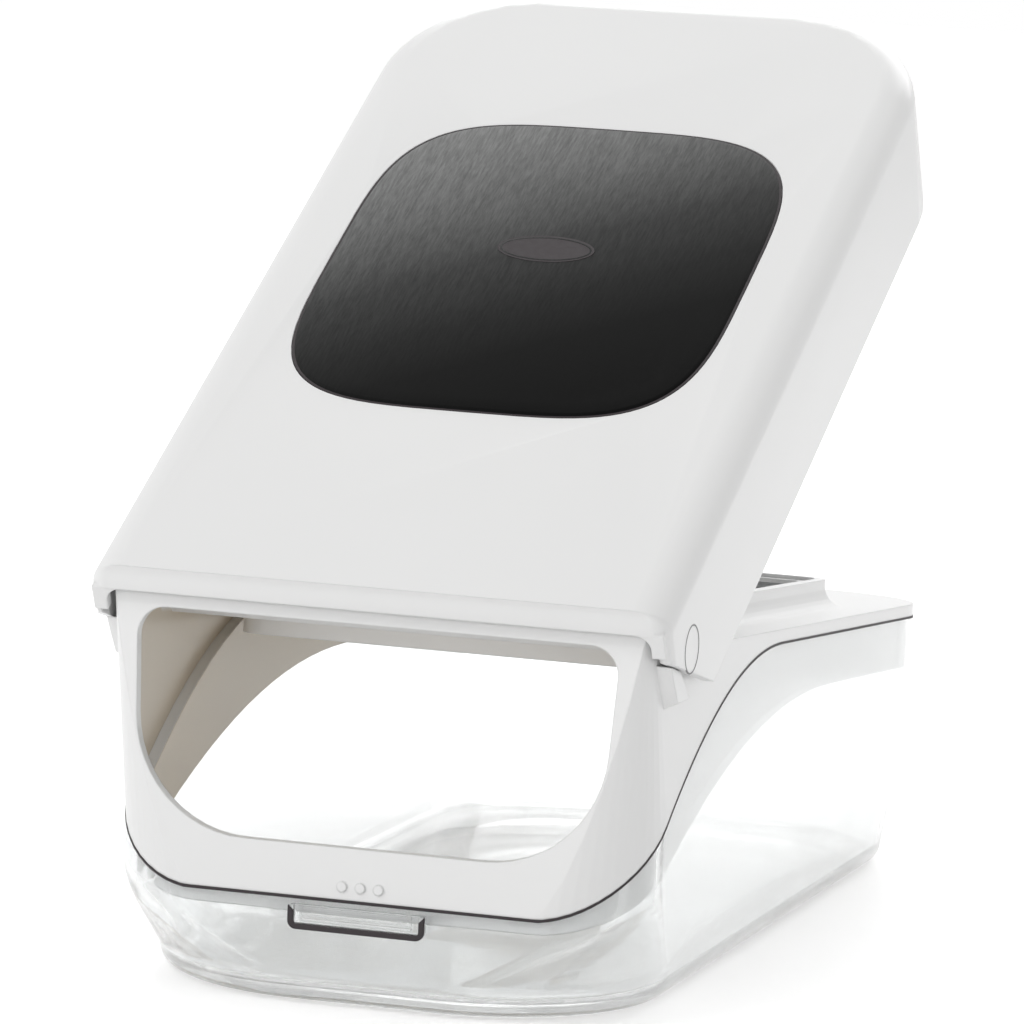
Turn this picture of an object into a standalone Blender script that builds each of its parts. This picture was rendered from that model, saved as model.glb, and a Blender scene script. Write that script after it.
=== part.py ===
"""Vegetable chopper with a pour opening: clear container, chopper body, blade grid and pressing lid.

Frame: X to the right as seen from the pour opening, Y to the back, Z up, in metres.
The origin is the centre of the container's flat base. The lid stands open on its stop.
"""
import math

import bmesh
import bpy
from mathutils import Vector

MM = 0.001
CLEAR = 0.3 * MM                 # gap between pieces that meet
HINGE_CLEAR = 0.1 * MM           # running gap of the hinge

# Container
HALF_WIDTH = 58.2 * MM           # outside, at the seam
HALF_LENGTH = 124.3 * MM
FRONT_CORNER = 22 * MM           # plan radii at the seam
REAR_CORNER = 28 * MM
BASE_FRONT_CORNER = 40 * MM      # plan radii of the base
BASE_REAR_CORNER = 36 * MM
SIDE_TAPER = 3 * MM              # how far the side walls lean in below the skirt
END_TAPER = 0.5 * MM             # the same at the front and the rear
TAPER_EASE = 1.5                 # above 1 the wall leaves the skirt's level upright
TAPER_STEPS = 4                  # rings between the base and the skirt's level
CONTAINER_WALL = 2.4 * MM
BASE_THICKNESS = 3.4 * MM
BASE_FILLET = 5 * MM

# Seam between container and body: low at the front, then up and gently down to the back
SEAM_FRONT = 22.2 * MM
SEAM_RISE_END = -16 * MM         # Y where the seam meets the body's sloping side band
SEAM_EASE = 0.92                 # below 1 the curve leaves the front corner more steeply
SIDE_STATIONS = 16               # points along the rising stretch
SIDE_BAND = 3 * MM               # body's side above the seam, at the deck

# Skirt of the body, hanging inside the container
SKIRT_FRONT = 17 * MM
SKIRT_RISE_END = 30 * MM
SKIRT_DROP = 11.6 * MM           # depth of the skirt behind its rise
SKIRT_GAP = 0.4 * MM
SKIRT_WALL = 2 * MM
LEDGE_HEIGHT = 2.4 * MM          # shoulder that rests on the container's rim

# Chopper body
BODY_WALL = 2.4 * MM
TOP_CORNER = 9 * MM              # plan radius of the block's front corners at the hinge axis
DECK_REAR = 58.3 * MM            # top of the deck at its rear end
DECK_SLOPE = 0.082               # the deck rises towards the front
BLOCK_RISE = 11.5 * MM           # top of the front block above the hinge axis
BLOCK_TOP_REACH = 6.4 * MM       # its flat top behind the hinge axis
BLOCK_FOOT_REACH = 17 * MM       # foot of its back slope behind the hinge axis
BLOCK_SHOULDER = 8.5 * MM        # rounded shoulders of the block, inside the lid's fillet
SHOULDER_CLEAR = 0.5 * MM        # the shoulder arc springs from just above the block's top

# Hinge
HINGE_SETBACK = 19.9 * MM        # hinge axis behind the body's front
HINGE_ABOVE_DECK = 0.65 * MM     # hinge axis above the deck's line
HINGE_PIN_RADIUS = 4.9 * MM
ROLL_RADIUS = 15.9 * MM          # round top edge of the pour opening's frame, about the hinge axis
LID_OPEN_ANGLE = math.radians(28)

# Pour opening
POUR_TOP_RISE = 1.4 * MM         # above the hinge axis
POUR_BOTTOM = 33.2 * MM
POUR_SIDE_TOP = 6.2 * MM         # side frame beside the opening, above and below
POUR_SIDE_BOTTOM = 8.6 * MM
POUR_TOP_CORNER = 6 * MM
POUR_BOTTOM_CORNER = 25 * MM

# Three raised dots and the finger tab on the front
DOT_RADIUS = 1.1 * MM
DOT_PITCH = 3.95 * MM
DOT_HEIGHT = 25.3 * MM
DOT_RELIEF = 0.5 * MM
TAB_HALF_WIDTH = 14.5 * MM
TAB_TOP = 21 * MM
TAB_BOTTOM = 16.2 * MM
TAB_REACH = 2.2 * MM
TAB_CORNER = 1.6 * MM
TAB_RIM = 1.1 * MM               # U-shaped rim round the ribbed grip
TAB_RECESS = 1 * MM              # grip behind the rim's face
TAB_RIBS = 3
TAB_RIB_RELIEF = 0.5 * MM

# Blade grid, in the sloping plane of the deck
COLUMNS = 6
ROWS = 10
GRID_SIDE_MARGIN = 18 * MM       # body's side to the first cell
GRID_END_MARGIN = 57.3 * MM      # body's end to the first cell, on average
GRID_SHIFT = -3 * MM             # the grid sits nearer the front
BLADE_THICKNESS = 0.6 * MM
BLADE_HEIGHT = 4.6 * MM
BLADE_EDGE = 1.8 * MM            # height of the ground edge
FRAME_WALL = 3.2 * MM
FRAME_HEIGHT = 9.6 * MM
FRAME_SUNK = 0.8 * MM            # frame's top below the collar's top
FRAME_CORNER = 4 * MM
FRAME_LEDGE = 2.2 * MM           # how far the body reaches in under the frame
LEDGE_THICKNESS = 2.2 * MM
COLLAR_HEIGHT = 6.2 * MM         # collar round the blade grid, above the deck
COLLAR_WALL = 2.4 * MM
COLLAR_FLARE = 5 * MM            # how far its concave foot spreads

# Lid, measured from the hinge axis with the lid closed
LID_WALL = 2.4 * MM
LID_SIDE_GAP = 1.8 * MM          # lid's sides outside the body's sides
LID_FRONT = -14.1 * MM
LID_REAR_SETBACK = 6.8 * MM      # lid's rear end ahead of the body's
LID_TOP = 18 * MM
LID_PLATE = 2 * MM
LID_REST_GAP = 0.4 * MM          # closed lid above the deck
LID_FILLET = 7 * MM
LID_FRONT_CORNER = 4 * MM
LID_REAR_CORNER = 34 * MM
BEAD_DEPTH = 5.5 * MM            # thick front edge of the lid
BEAD_THICKNESS = 2.6 * MM
CHEEK_FRONT_DROP = 10.9 * MM     # front end of the cheeks, below the lid's top
CHEEK_EDGE_DISTANCE = 4.6 * MM   # slanting lower edge of the cheek, from the hinge axis
CHEEK_EDGE_ANGLE = math.radians(42)

# Soft pad on the lid
PAD_SIDE_MARGIN = 15.5 * MM      # lid's side to the pad
PAD_HALF_LENGTH = 56.3 * MM
PAD_CENTRE = 122 * MM            # from the lid's front edge
PAD_SQUARENESS = 3.97            # exponent of the rounded-square outline
PAD_THICKNESS = 1.3 * MM
PAD_RECESS = 1 * MM

# Pusher under the lid
PEG_SHARE = 0.75                 # peg's width as a share of its cell
PEG_TAPER = 0.3 * MM
PEG_ENGAGEMENT = 2 * MM          # how far the pegs reach between the blades when closed
TRAY_LIFT = 3.4 * MM             # tray's floor above the front end of the blades
TRAY_FLOOR = 2.2 * MM
TRAY_WALL = 2 * MM
TRAY_MARGIN = 1 * MM             # tray beyond the grid cells
FLANGE_WIDTH = 8 * MM
FLANGE_THICKNESS = 2 * MM
FLANGE_INSET = 2 * MM
SCREW_INSET_Y = 12 * MM
SCREW_SHANK = 1.5 * MM
SCREW_HEAD = 3 * MM
SCREW_HEAD_HEIGHT = 1.8 * MM

CORBEL_TOP_REACH = 12 * MM       # corbel's resting face ahead of the hinge axis
CORBEL_REAR_REACH = 13 * MM      # its steep rear face behind the hinge axis
CORBEL_FOOT = [(7 * MM, -15.4 * MM), (-5 * MM, -15 * MM), (-10 * MM, -8.6 * MM)]
CORBEL_ROOT = 5.5 * MM           # its root inside the body's side, where the corner rounds
CORBEL_OUTSET = 2.8 * MM         # its outer face beyond the body's side
CORBEL_DRAFT = 0.72              # size of its outer face as a share of its root

CORNER_STEPS = 12                # facets of a quarter round in plan
FILLET_STEPS = 7                 # facets of an edge fillet
CIRCLE_STEPS = 16                # facets of a small circle
PAD_STEPS = 96                   # facets of the pad's outline

# Worked out from the sizes above
HINGE_Y = HINGE_SETBACK - HALF_LENGTH
HINGE_Z = DECK_REAR + DECK_SLOPE * (HALF_LENGTH - HINGE_Y) + HINGE_ABOVE_DECK
BLOCK_TOP = HINGE_Z + BLOCK_RISE
BLOCK_REAR = HINGE_Y + BLOCK_TOP_REACH
BLOCK_FOOT = HINGE_Y + BLOCK_FOOT_REACH
POUR_TOP = HINGE_Z + POUR_TOP_RISE
LID_HALF_WIDTH = HALF_WIDTH + LID_SIDE_GAP + LID_WALL
LID_REAR = HALF_LENGTH - LID_REAR_SETBACK - HINGE_Y
LID_INNER_CORNER = LID_REAR_CORNER - LID_WALL
LID_CROSSING = math.sqrt(LID_INNER_CORNER ** 2 - (LID_INNER_CORNER - LID_SIDE_GAP) ** 2)
LID_CORNER_START = HINGE_Y + LID_REAR - LID_REAR_CORNER + LID_CROSSING    # lid's wall comes in over the deck
LID_LOWER_EDGE = DECK_REAR + DECK_SLOPE * (HALF_LENGTH - LID_CORNER_START) + LID_REST_GAP - HINGE_Z
SKIRT_OUTSET = CONTAINER_WALL + SKIRT_GAP
GRID_HALF_X = HALF_WIDTH - GRID_SIDE_MARGIN
GRID_HALF_Y = HALF_LENGTH - GRID_END_MARGIN
CELL_X = 2 * GRID_HALF_X / COLUMNS
CELL_Y = 2 * GRID_HALF_Y / ROWS
DECK_ANGLE = math.atan(DECK_SLOPE)
GRID_Y = (GRID_SHIFT - HALF_LENGTH) / math.cos(DECK_ANGLE)      # in the deck's plane, from its rear end
FRAME_TOP = COLLAR_HEIGHT - FRAME_SUNK                          # above the deck
FRAME_BOTTOM = FRAME_TOP - FRAME_HEIGHT


def material(name, colour, roughness, metallic=0.0, alpha=1.0, transmission=0.0):
    """A Principled material in the photographed colour."""
    made = bpy.data.materials.new(name)
    made.use_nodes = True
    shader = made.node_tree.nodes["Principled BSDF"]
    shader.inputs["Base Color"].default_value = (*colour, 1.0)
    shader.inputs["Roughness"].default_value = roughness
    shader.inputs["Metallic"].default_value = metallic
    shader.inputs["Alpha"].default_value = alpha
    shader.inputs["Transmission Weight"].default_value = transmission
    return made


def add_object(name, bm, look=None):
    """Turn a bmesh into an object with outward faces and smooth rounds."""
    bmesh.ops.recalc_face_normals(bm, faces=bm.faces)
    mesh = bpy.data.meshes.new(name)
    bm.to_mesh(mesh)
    bm.free()
    mesh.shade_smooth()
    mesh.set_sharp_from_angle(angle=math.radians(35))
    obj = bpy.data.objects.new(name, mesh)
    bpy.context.scene.collection.objects.link(obj)
    if look:
        mesh.materials.append(look)
    return obj


def cutter(name, bm):
    """A helper solid that only shapes other pieces."""
    obj = add_object(name, bm)
    obj.hide_render = True
    obj.display_type = "WIRE"
    return obj


def boolean(target, tool, operation):
    """Keep a live Boolean on the target."""
    modifier = target.modifiers.new(tool.name, "BOOLEAN")
    modifier.operation = operation
    modifier.solver = "EXACT"
    modifier.object = tool


def arc(centre, radius, start, end, steps):
    """Points on a circle arc; angles in degrees."""
    return [(centre[0] + radius * math.cos(math.radians(start + (end - start) * k / steps)),
             centre[1] + radius * math.sin(math.radians(start + (end - start) * k / steps)))
            for k in range(steps + 1)]


def circle(centre, radius, steps):
    """Points of a full circle."""
    return arc(centre, radius, 0, 360 * (steps - 1) / steps, steps - 1)


def half_plan(half_width, front, rear, front_radius, rear_radius, stations=0):
    """Right half of a rounded rectangle; stations are extra points along the rising seam."""
    start = front + front_radius
    corner_front = arc((half_width - front_radius, start), front_radius, -90, 0, CORNER_STEPS)
    corner_rear = arc((half_width - rear_radius, rear - rear_radius), rear_radius, 0, 90, CORNER_STEPS)
    side = [(half_width, start + (SKIRT_RISE_END - start) * k / stations) for k in range(1, stations + 1)]
    return corner_front + side + corner_rear


def deck_height(y):
    """Height of the deck at depth y."""
    return DECK_REAR + DECK_SLOPE * (HALF_LENGTH - y)


def rising_curve(y, front, high, rise_end):
    """S-shaped edge that leaves the front level and meets the height above it at rise_end."""
    t = min(max((y + HALF_LENGTH) / (rise_end + HALF_LENGTH), 0.0), 1.0)
    return front + (high - front) * math.sin(t * math.pi / 2) ** SEAM_EASE


def seam_height(y):
    """Height of the seam between container and body at depth y."""
    return rising_curve(y, SEAM_FRONT, deck_height(y) - SIDE_BAND, SEAM_RISE_END)


def skirt_height(y):
    """Height of the skirt's lower edge at depth y."""
    return rising_curve(y, SKIRT_FRONT, deck_height(y) - SIDE_BAND - SKIRT_DROP, SKIRT_RISE_END)


def slab(right, low, high, right_high=None):
    """Closed solid over a symmetric plan, which may change to another plan at its top."""
    bm = bmesh.new()
    rings = []
    for side in (1, -1):
        rings.append([[bm.verts.new((side * x, y, level(y))) for (x, y), level in zip(pair, (low, high))]
                      for pair in zip(right, right_high or right)])
    east, west = rings
    for k in range(len(right) - 1):
        bm.faces.new((east[k][0], east[k + 1][0], east[k + 1][1], east[k][1]))
        bm.faces.new((west[k][0], west[k][1], west[k + 1][1], west[k + 1][0]))
        bm.faces.new((east[k][1], east[k + 1][1], west[k + 1][1], west[k][1]))
        bm.faces.new((east[k][0], west[k][0], west[k + 1][0], east[k + 1][0]))
    bm.faces.new((east[0][0], east[0][1], west[0][1], west[0][0]))
    bm.faces.new((east[-1][0], west[-1][0], west[-1][1], east[-1][1]))
    return bm


def closed_plan(right):
    """Full outline from its right half, anticlockwise from above."""
    return right + [(-x, y) for x, y in reversed(right)]


def loft(rings, low_cap=True, high_cap=True):
    """Closed solid through rings of equal point counts, first ring lowest."""
    bm = bmesh.new()
    made = [[bm.verts.new(point) for point in ring] for ring in rings]
    for below, above in zip(made, made[1:]):
        for k in range(len(below)):
            n = (k + 1) % len(below)
            bm.faces.new((below[k], below[n], above[n], above[k]))
    if low_cap:
        bm.faces.new(list(reversed(made[0])))
    if high_cap:
        bm.faces.new(made[-1])
    return bm


def prism_x(outline, x_low, x_high):
    """Closed solid from a Y-Z outline, pulled along X."""
    bm = bmesh.new()
    near = [bm.verts.new((x_low, y, z)) for y, z in outline]
    far = [bm.verts.new((x_high, y, z)) for y, z in outline]
    for k in range(len(outline)):
        n = (k + 1) % len(outline)
        bm.faces.new((near[k], near[n], far[n], far[k]))
    bm.faces.new(near)
    bm.faces.new(far)
    return bm


def prism_y(outline, y_low, y_high):
    """Closed solid from an X-Z outline, pulled along Y."""
    bm = bmesh.new()
    near = [bm.verts.new((x, y_low, z)) for x, z in outline]
    far = [bm.verts.new((x, y_high, z)) for x, z in outline]
    for k in range(len(outline)):
        n = (k + 1) % len(outline)
        bm.faces.new((near[k], near[n], far[n], far[k]))
    bm.faces.new(near)
    bm.faces.new(far)
    return bm


def box(low, high):
    """Axis-aligned box."""
    bm = bmesh.new()
    bmesh.ops.create_cube(bm, size=1)
    for vert in bm.verts:
        vert.co = Vector([low[k] if vert.co[k] < 0 else high[k] for k in range(3)])
    return bm


def cylinder_x(centre_y, centre_z, radius, x_low, x_high):
    """Cylinder along X."""
    return prism_x(circle((centre_y, centre_z), radius, 2 * CIRCLE_STEPS), x_low, x_high)


def rounded_outline(corners, steps=CORNER_STEPS):
    """Outline through corners (u, v, radius), each rounded with a tangent arc."""
    points = []
    count = len(corners)
    for k in range(count):
        here = Vector(corners[k][:2])
        before = (Vector(corners[k - 1][:2]) - here).normalized()
        after = (Vector(corners[(k + 1) % count][:2]) - here).normalized()
        radius = corners[k][2]
        half = before.angle(after) / 2
        if radius <= 0:
            points.append(tuple(here))
            continue
        reach = radius / math.tan(half)
        centre = here + (before + after).normalized() * (radius / math.sin(half))
        start = here + before * reach - centre
        end = here + after * reach - centre
        sweep = math.atan2(start.cross(end), start.dot(end))
        for step in range(steps + 1):
            turn = sweep * step / steps
            cos_t, sin_t = math.cos(turn), math.sin(turn)
            points.append((centre.x + start.x * cos_t - start.y * sin_t,
                           centre.y + start.x * sin_t + start.y * cos_t))
    return points


def container_ring(inset, height, lean):
    """One level of the container; lean runs from 0 at the skirt to 1 at the base."""
    side = inset + SIDE_TAPER * lean
    end = HALF_LENGTH - inset - END_TAPER * lean
    corner_front = FRONT_CORNER + (BASE_FRONT_CORNER - FRONT_CORNER) * lean - inset
    corner_rear = REAR_CORNER + (BASE_REAR_CORNER - REAR_CORNER) * lean - inset
    right = half_plan(HALF_WIDTH - side, -end, end, corner_front, corner_rear, SIDE_STATIONS)
    return [(x, y, height(y)) for x, y in closed_plan(right)]


def container_shell(inset, floor, fillet):
    """Rings of the container's outer or inner skin, from its floor to its rim."""
    rings = []
    for step in range(FILLET_STEPS + 1):
        turn = math.pi / 2 * step / FILLET_STEPS
        rise = fillet * (1 - math.cos(turn))
        pull = fillet * (1 - math.sin(turn))
        rings.append(container_ring(inset + pull, lambda y, z=floor + rise: z, 1.0))
    foot = floor + fillet
    for step in range(1, TAPER_STEPS + 1):
        share = step / TAPER_STEPS
        rings.append(container_ring(inset, lambda y, t=share: foot + (skirt_height(y) - SKIRT_GAP - foot) * t,
                                    (1 - share) ** TAPER_EASE))
    rings.append(container_ring(inset, lambda y: seam_height(y) - CLEAR / 2, 0.0))
    return rings


def build_container(look):
    """Clear box with tapered walls, a filleted base and the S-shaped rim."""
    outer = container_shell(0.0, 0.0, BASE_FILLET)
    inner = container_shell(CONTAINER_WALL, BASE_THICKNESS, BASE_FILLET - CONTAINER_WALL)
    bm = bmesh.new()
    skins = [[[bm.verts.new(point) for point in ring] for ring in skin] for skin in (outer, inner)]
    count = len(outer[0])
    for skin in skins:
        for below, above in zip(skin, skin[1:]):
            for k in range(count):
                n = (k + 1) % count
                bm.faces.new((below[k], below[n], above[n], above[k]))
        bm.faces.new(skin[0])
    for k in range(count):
        n = (k + 1) % count
        bm.faces.new((skins[0][-1][k], skins[0][-1][n], skins[1][-1][n], skins[1][-1][k]))
    container = add_object("container", bm, look)
    outline = rounded_outline([(-TAB_HALF_WIDTH, TAB_BOTTOM, TAB_CORNER), (TAB_HALF_WIDTH, TAB_BOTTOM, TAB_CORNER),
                               (TAB_HALF_WIDTH, TAB_TOP, 0), (-TAB_HALF_WIDTH, TAB_TOP, 0)])
    face = -HALF_LENGTH - TAB_REACH
    back = -HALF_LENGTH + CONTAINER_WALL / 2
    boolean(container, cutter("tab_lip", prism_y(outline, face, back)), "UNION")
    half = TAB_HALF_WIDTH - TAB_RIM
    low = TAB_BOTTOM + TAB_RIM
    boolean(container, cutter("tab_grip", box((-half, face - TAB_REACH, low),
                                              (half, face + TAB_RECESS, TAB_TOP + TAB_REACH))), "DIFFERENCE")
    pitch = (TAB_TOP - low) / TAB_RIBS
    for k in range(TAB_RIBS):
        foot = low + (k + 0.2) * pitch
        rib = [(face + TAB_RECESS - TAB_RIB_RELIEF, foot + 0.3 * pitch), (back, foot), (back, foot + 0.6 * pitch)]
        boolean(container, cutter("tab_rib", prism_x(rib, TAB_CORNER - half, half - TAB_CORNER)), "UNION")
    return container


def body_profile():
    """Side outline of the body's outside: leaning front, rolled top edge, block, slope and deck."""
    roll_end = math.degrees(math.asin(BLOCK_RISE / ROLL_RADIUS))
    front_top = HINGE_Y - ROLL_RADIUS
    points = [(-HALF_LENGTH, 0), (-HALF_LENGTH, SEAM_FRONT), (front_top, HINGE_Z)]
    points += arc((HINGE_Y, HINGE_Z), ROLL_RADIUS, 180, 180 - roll_end, FILLET_STEPS)[1:]
    points += [(BLOCK_REAR, BLOCK_TOP), (BLOCK_FOOT, deck_height(BLOCK_FOOT)),
               (2 * HALF_LENGTH, deck_height(2 * HALF_LENGTH)), (2 * HALF_LENGTH, 0)]
    return points


def chamber_profile():
    """Side outline of the hollow inside the body."""
    inner = ROLL_RADIUS - BODY_WALL
    roof = BLOCK_TOP - BODY_WALL
    roll_end = math.degrees(math.asin((roof - HINGE_Z) / inner))
    points = [(-HALF_LENGTH + BODY_WALL, -BODY_WALL), (-HALF_LENGTH + BODY_WALL, SEAM_FRONT),
              (HINGE_Y - inner, HINGE_Z)]
    points += arc((HINGE_Y, HINGE_Z), inner, 180, 180 - roll_end, FILLET_STEPS)[1:]
    points += [(BLOCK_REAR - BODY_WALL / 2, roof),
               (BLOCK_FOOT - BODY_WALL / 2, deck_height(BLOCK_FOOT) - BODY_WALL),
               (2 * HALF_LENGTH, deck_height(2 * HALF_LENGTH) - BODY_WALL), (2 * HALF_LENGTH, -BODY_WALL)]
    return points


def ring_band(outer_inset, inner_inset, low, high):
    """Closed wall that follows the seam between two insets of the body's plan."""
    plans = []
    for inset in (outer_inset, inner_inset):
        right = half_plan(HALF_WIDTH - inset, -HALF_LENGTH + inset, HALF_LENGTH - inset,
                          FRONT_CORNER - inset, REAR_CORNER - inset, SIDE_STATIONS)
        plans.append(closed_plan(right))
    outer, inner = plans
    bm = bmesh.new()
    loops = [[bm.verts.new((x, y, level(y))) for x, y in plan]
             for plan, level in ((outer, low), (outer, high), (inner, high), (inner, low))]
    count = len(outer)
    for a, b in zip(loops, loops[1:] + loops[:1]):
        for k in range(count):
            n = (k + 1) % count
            bm.faces.new((a[k], a[n], b[n], b[k]))
    return bm


def collar_ring(spread, height):
    """Rounded rectangle round the blade frame, spread outward, at one height."""
    half_x = GRID_HALF_X + FRAME_WALL + CLEAR + COLLAR_WALL + spread
    half_y = GRID_HALF_Y + FRAME_WALL + CLEAR + COLLAR_WALL + spread
    radius = FRAME_CORNER + CLEAR + COLLAR_WALL + spread
    right = half_plan(half_x, GRID_Y - half_y, GRID_Y + half_y, radius, radius)
    return [(x, y, height) for x, y in closed_plan(right)]


def collar_solid():
    """Raised collar with a concave foot."""
    rings = [collar_ring(COLLAR_FLARE, -BODY_WALL / 2)]
    for step in range(FILLET_STEPS + 1):
        turn = math.pi / 2 * step / FILLET_STEPS
        rings.append(collar_ring(COLLAR_FLARE * (1 - math.sin(turn)), COLLAR_FLARE * (1 - math.cos(turn))))
    rings.append(collar_ring(0.0, COLLAR_HEIGHT))
    return loft(rings)


def cheek_line(distance, angle):
    """Two far points on the line at a distance below the hinge axis, tilted down towards the back."""
    along = Vector((math.cos(angle), -math.sin(angle)))
    foot = Vector((-math.sin(angle), -math.cos(angle))) * distance
    return along, foot


def corbel_outline(share):
    """Side boss below the lid's cheek, the stop that holds the open lid; share draws in its foot."""
    along, foot = cheek_line(CHEEK_EDGE_DISTANCE + CLEAR, CHEEK_EDGE_ANGLE - LID_OPEN_ANGLE)
    steep, steep_foot = cheek_line(CHEEK_EDGE_DISTANCE + CLEAR, CHEEK_EDGE_ANGLE)
    front = foot - along * CORBEL_TOP_REACH * share
    middle = foot - along * (CHEEK_EDGE_DISTANCE + CLEAR) * math.tan(LID_OPEN_ANGLE / 2)
    rear = steep_foot + steep * CORBEL_REAR_REACH * share
    hinge = Vector((HINGE_Y, HINGE_Z))
    return [hinge + point for point in (front, middle, rear, *(Vector(foot) * share for foot in CORBEL_FOOT))]


def corner_radius(z):
    """Plan radius of the body's front corners, tighter towards the top."""
    return FRONT_CORNER + (TOP_CORNER - FRONT_CORNER) * (z - SEAM_FRONT) / (HINGE_Z - SEAM_FRONT)


def shoulder_outline(inset):
    """Front view outline that rounds the block's upper side edges and leaves the rest alone."""
    wide = 2 * HALF_WIDTH
    half = HALF_WIDTH - inset
    top = BLOCK_TOP + SHOULDER_CLEAR - inset
    radius = BLOCK_SHOULDER - inset
    return rounded_outline([(-wide, 0, 0), (wide, 0, 0), (wide, HINGE_Z, 0), (half, HINGE_Z, 0),
                            (half, top, radius), (-half, top, radius), (-half, HINGE_Z, 0), (-wide, HINGE_Z, 0)])


def build_body(deck, look):
    """White chopper body: front block with the pour opening, deck, collar, skirt and hinge pins."""
    top = HINGE_Z + ROLL_RADIUS
    plans = [half_plan(HALF_WIDTH, -HALF_LENGTH, HALF_LENGTH, radius, REAR_CORNER, SIDE_STATIONS)
             for radius in (FRONT_CORNER, corner_radius(top))]
    body = add_object("body_shell", slab(plans[0], lambda y: seam_height(y) + CLEAR / 2,
                                         lambda y: top, plans[1]), look)
    wide = 2 * HALF_WIDTH
    deep = 2 * HALF_LENGTH
    boolean(body, cutter("body_outside", prism_x(body_profile(), -wide, wide)), "INTERSECT")
    boolean(body, cutter("block_shoulders", prism_y(shoulder_outline(0.0), -deep, deep)), "INTERSECT")
    collar = cutter("collar", collar_solid())
    collar.parent = deck
    boolean(body, collar, "UNION")

    for side in (-1, 1):
        faces = ((side * (HALF_WIDTH - CORBEL_ROOT), 1.0), (side * (HALF_WIDTH + CORBEL_OUTSET), CORBEL_DRAFT))
        corbel = loft([[(x, y, z) for y, z in corbel_outline(share)] for x, share in faces])
        boolean(body, cutter("corbel", corbel), "UNION")
        spans = sorted((side * (HALF_WIDTH - BODY_WALL), side * LID_HALF_WIDTH))
        boolean(body, cutter("hinge_pin", cylinder_x(HINGE_Y, HINGE_Z, HINGE_PIN_RADIUS, *spans)), "UNION")

    insides = [half_plan(HALF_WIDTH - BODY_WALL, -HALF_LENGTH + BODY_WALL, HALF_LENGTH - BODY_WALL,
                         corner_radius(z) - BODY_WALL, REAR_CORNER - BODY_WALL) for z in (0.0, top)]
    chamber = cutter("chamber", slab(insides[0], lambda y: 0.0, lambda y: top, insides[1]))
    boolean(chamber, cutter("chamber_side", prism_x(chamber_profile(), -wide, wide)), "INTERSECT")
    boolean(chamber, cutter("chamber_shoulders", prism_y(shoulder_outline(BODY_WALL), -deep, deep)), "INTERSECT")
    boolean(body, chamber, "DIFFERENCE")

    skirt = ring_band(SKIRT_OUTSET, SKIRT_OUTSET + SKIRT_WALL, skirt_height,
                      lambda y: seam_height(y) + LEDGE_HEIGHT / 2)
    boolean(body, cutter("skirt", skirt), "UNION")
    ledge = ring_band(BODY_WALL / 10, SKIRT_OUTSET + SKIRT_WALL, lambda y: seam_height(y) + CLEAR / 2,
                      lambda y: seam_height(y) + LEDGE_HEIGHT)
    boolean(body, cutter("ledge", ledge), "UNION")

    seat_bottom = FRAME_BOTTOM - CLEAR
    well = cutter("well", loft([collar_ring(0.0, seat_bottom - LEDGE_THICKNESS), collar_ring(0.0, 0.0)]))
    seat_x = GRID_HALF_X + FRAME_WALL + CLEAR
    seat_y = GRID_HALF_Y + FRAME_WALL + CLEAR
    seat = half_plan(seat_x, GRID_Y - seat_y, GRID_Y + seat_y, FRAME_CORNER + CLEAR, FRAME_CORNER + CLEAR)
    seat = cutter("frame_seat", slab(seat, lambda y: seat_bottom, lambda y: 2 * COLLAR_HEIGHT))
    drop_x = seat_x - FRAME_LEDGE
    drop_y = seat_y - FRAME_LEDGE
    drop = half_plan(drop_x, GRID_Y - drop_y, GRID_Y + drop_y, FRAME_CORNER, FRAME_CORNER)
    drop = cutter("drop_through", slab(drop, lambda y: -2 * FRAME_HEIGHT, lambda y: 2 * COLLAR_HEIGHT))
    for tool, operation in ((well, "UNION"), (seat, "DIFFERENCE"), (drop, "DIFFERENCE")):
        tool.parent = deck
        boolean(body, tool, operation)

    half_top = HALF_WIDTH - POUR_SIDE_TOP
    half_bottom = HALF_WIDTH - POUR_SIDE_BOTTOM
    pour = rounded_outline([(-half_bottom, POUR_BOTTOM, POUR_BOTTOM_CORNER),
                            (half_bottom, POUR_BOTTOM, POUR_BOTTOM_CORNER),
                            (half_top, POUR_TOP, POUR_TOP_CORNER), (-half_top, POUR_TOP, POUR_TOP_CORNER)])
    boolean(body, cutter("pour_opening", prism_y(pour, -deep, HINGE_Y)), "DIFFERENCE")

    lean = (HINGE_SETBACK - ROLL_RADIUS) / (HINGE_Z - SEAM_FRONT)
    face = -HALF_LENGTH + lean * (DOT_HEIGHT - SEAM_FRONT)
    for k in (-1, 0, 1):
        dot = circle((k * DOT_PITCH, DOT_HEIGHT), DOT_RADIUS, CIRCLE_STEPS)
        boolean(body, cutter("dot", prism_y(dot, face - DOT_RELIEF, face + BODY_WALL / 2)), "UNION")
    return body


def build_blade_frame(deck, look):
    """Frame that holds the two layers of blades."""
    outer = half_plan(GRID_HALF_X + FRAME_WALL, GRID_Y - GRID_HALF_Y - FRAME_WALL,
                      GRID_Y + GRID_HALF_Y + FRAME_WALL, FRAME_CORNER, FRAME_CORNER)
    frame = add_object("blade_frame", slab(outer, lambda y: FRAME_BOTTOM, lambda y: FRAME_TOP), look)
    frame.parent = deck
    hole = cutter("frame_hole", box((-GRID_HALF_X, GRID_Y - GRID_HALF_Y, FRAME_BOTTOM - FRAME_HEIGHT),
                                    (GRID_HALF_X, GRID_Y + GRID_HALF_Y, FRAME_TOP + FRAME_HEIGHT)))
    hole.parent = deck
    boolean(frame, hole, "DIFFERENCE")
    return frame


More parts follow.
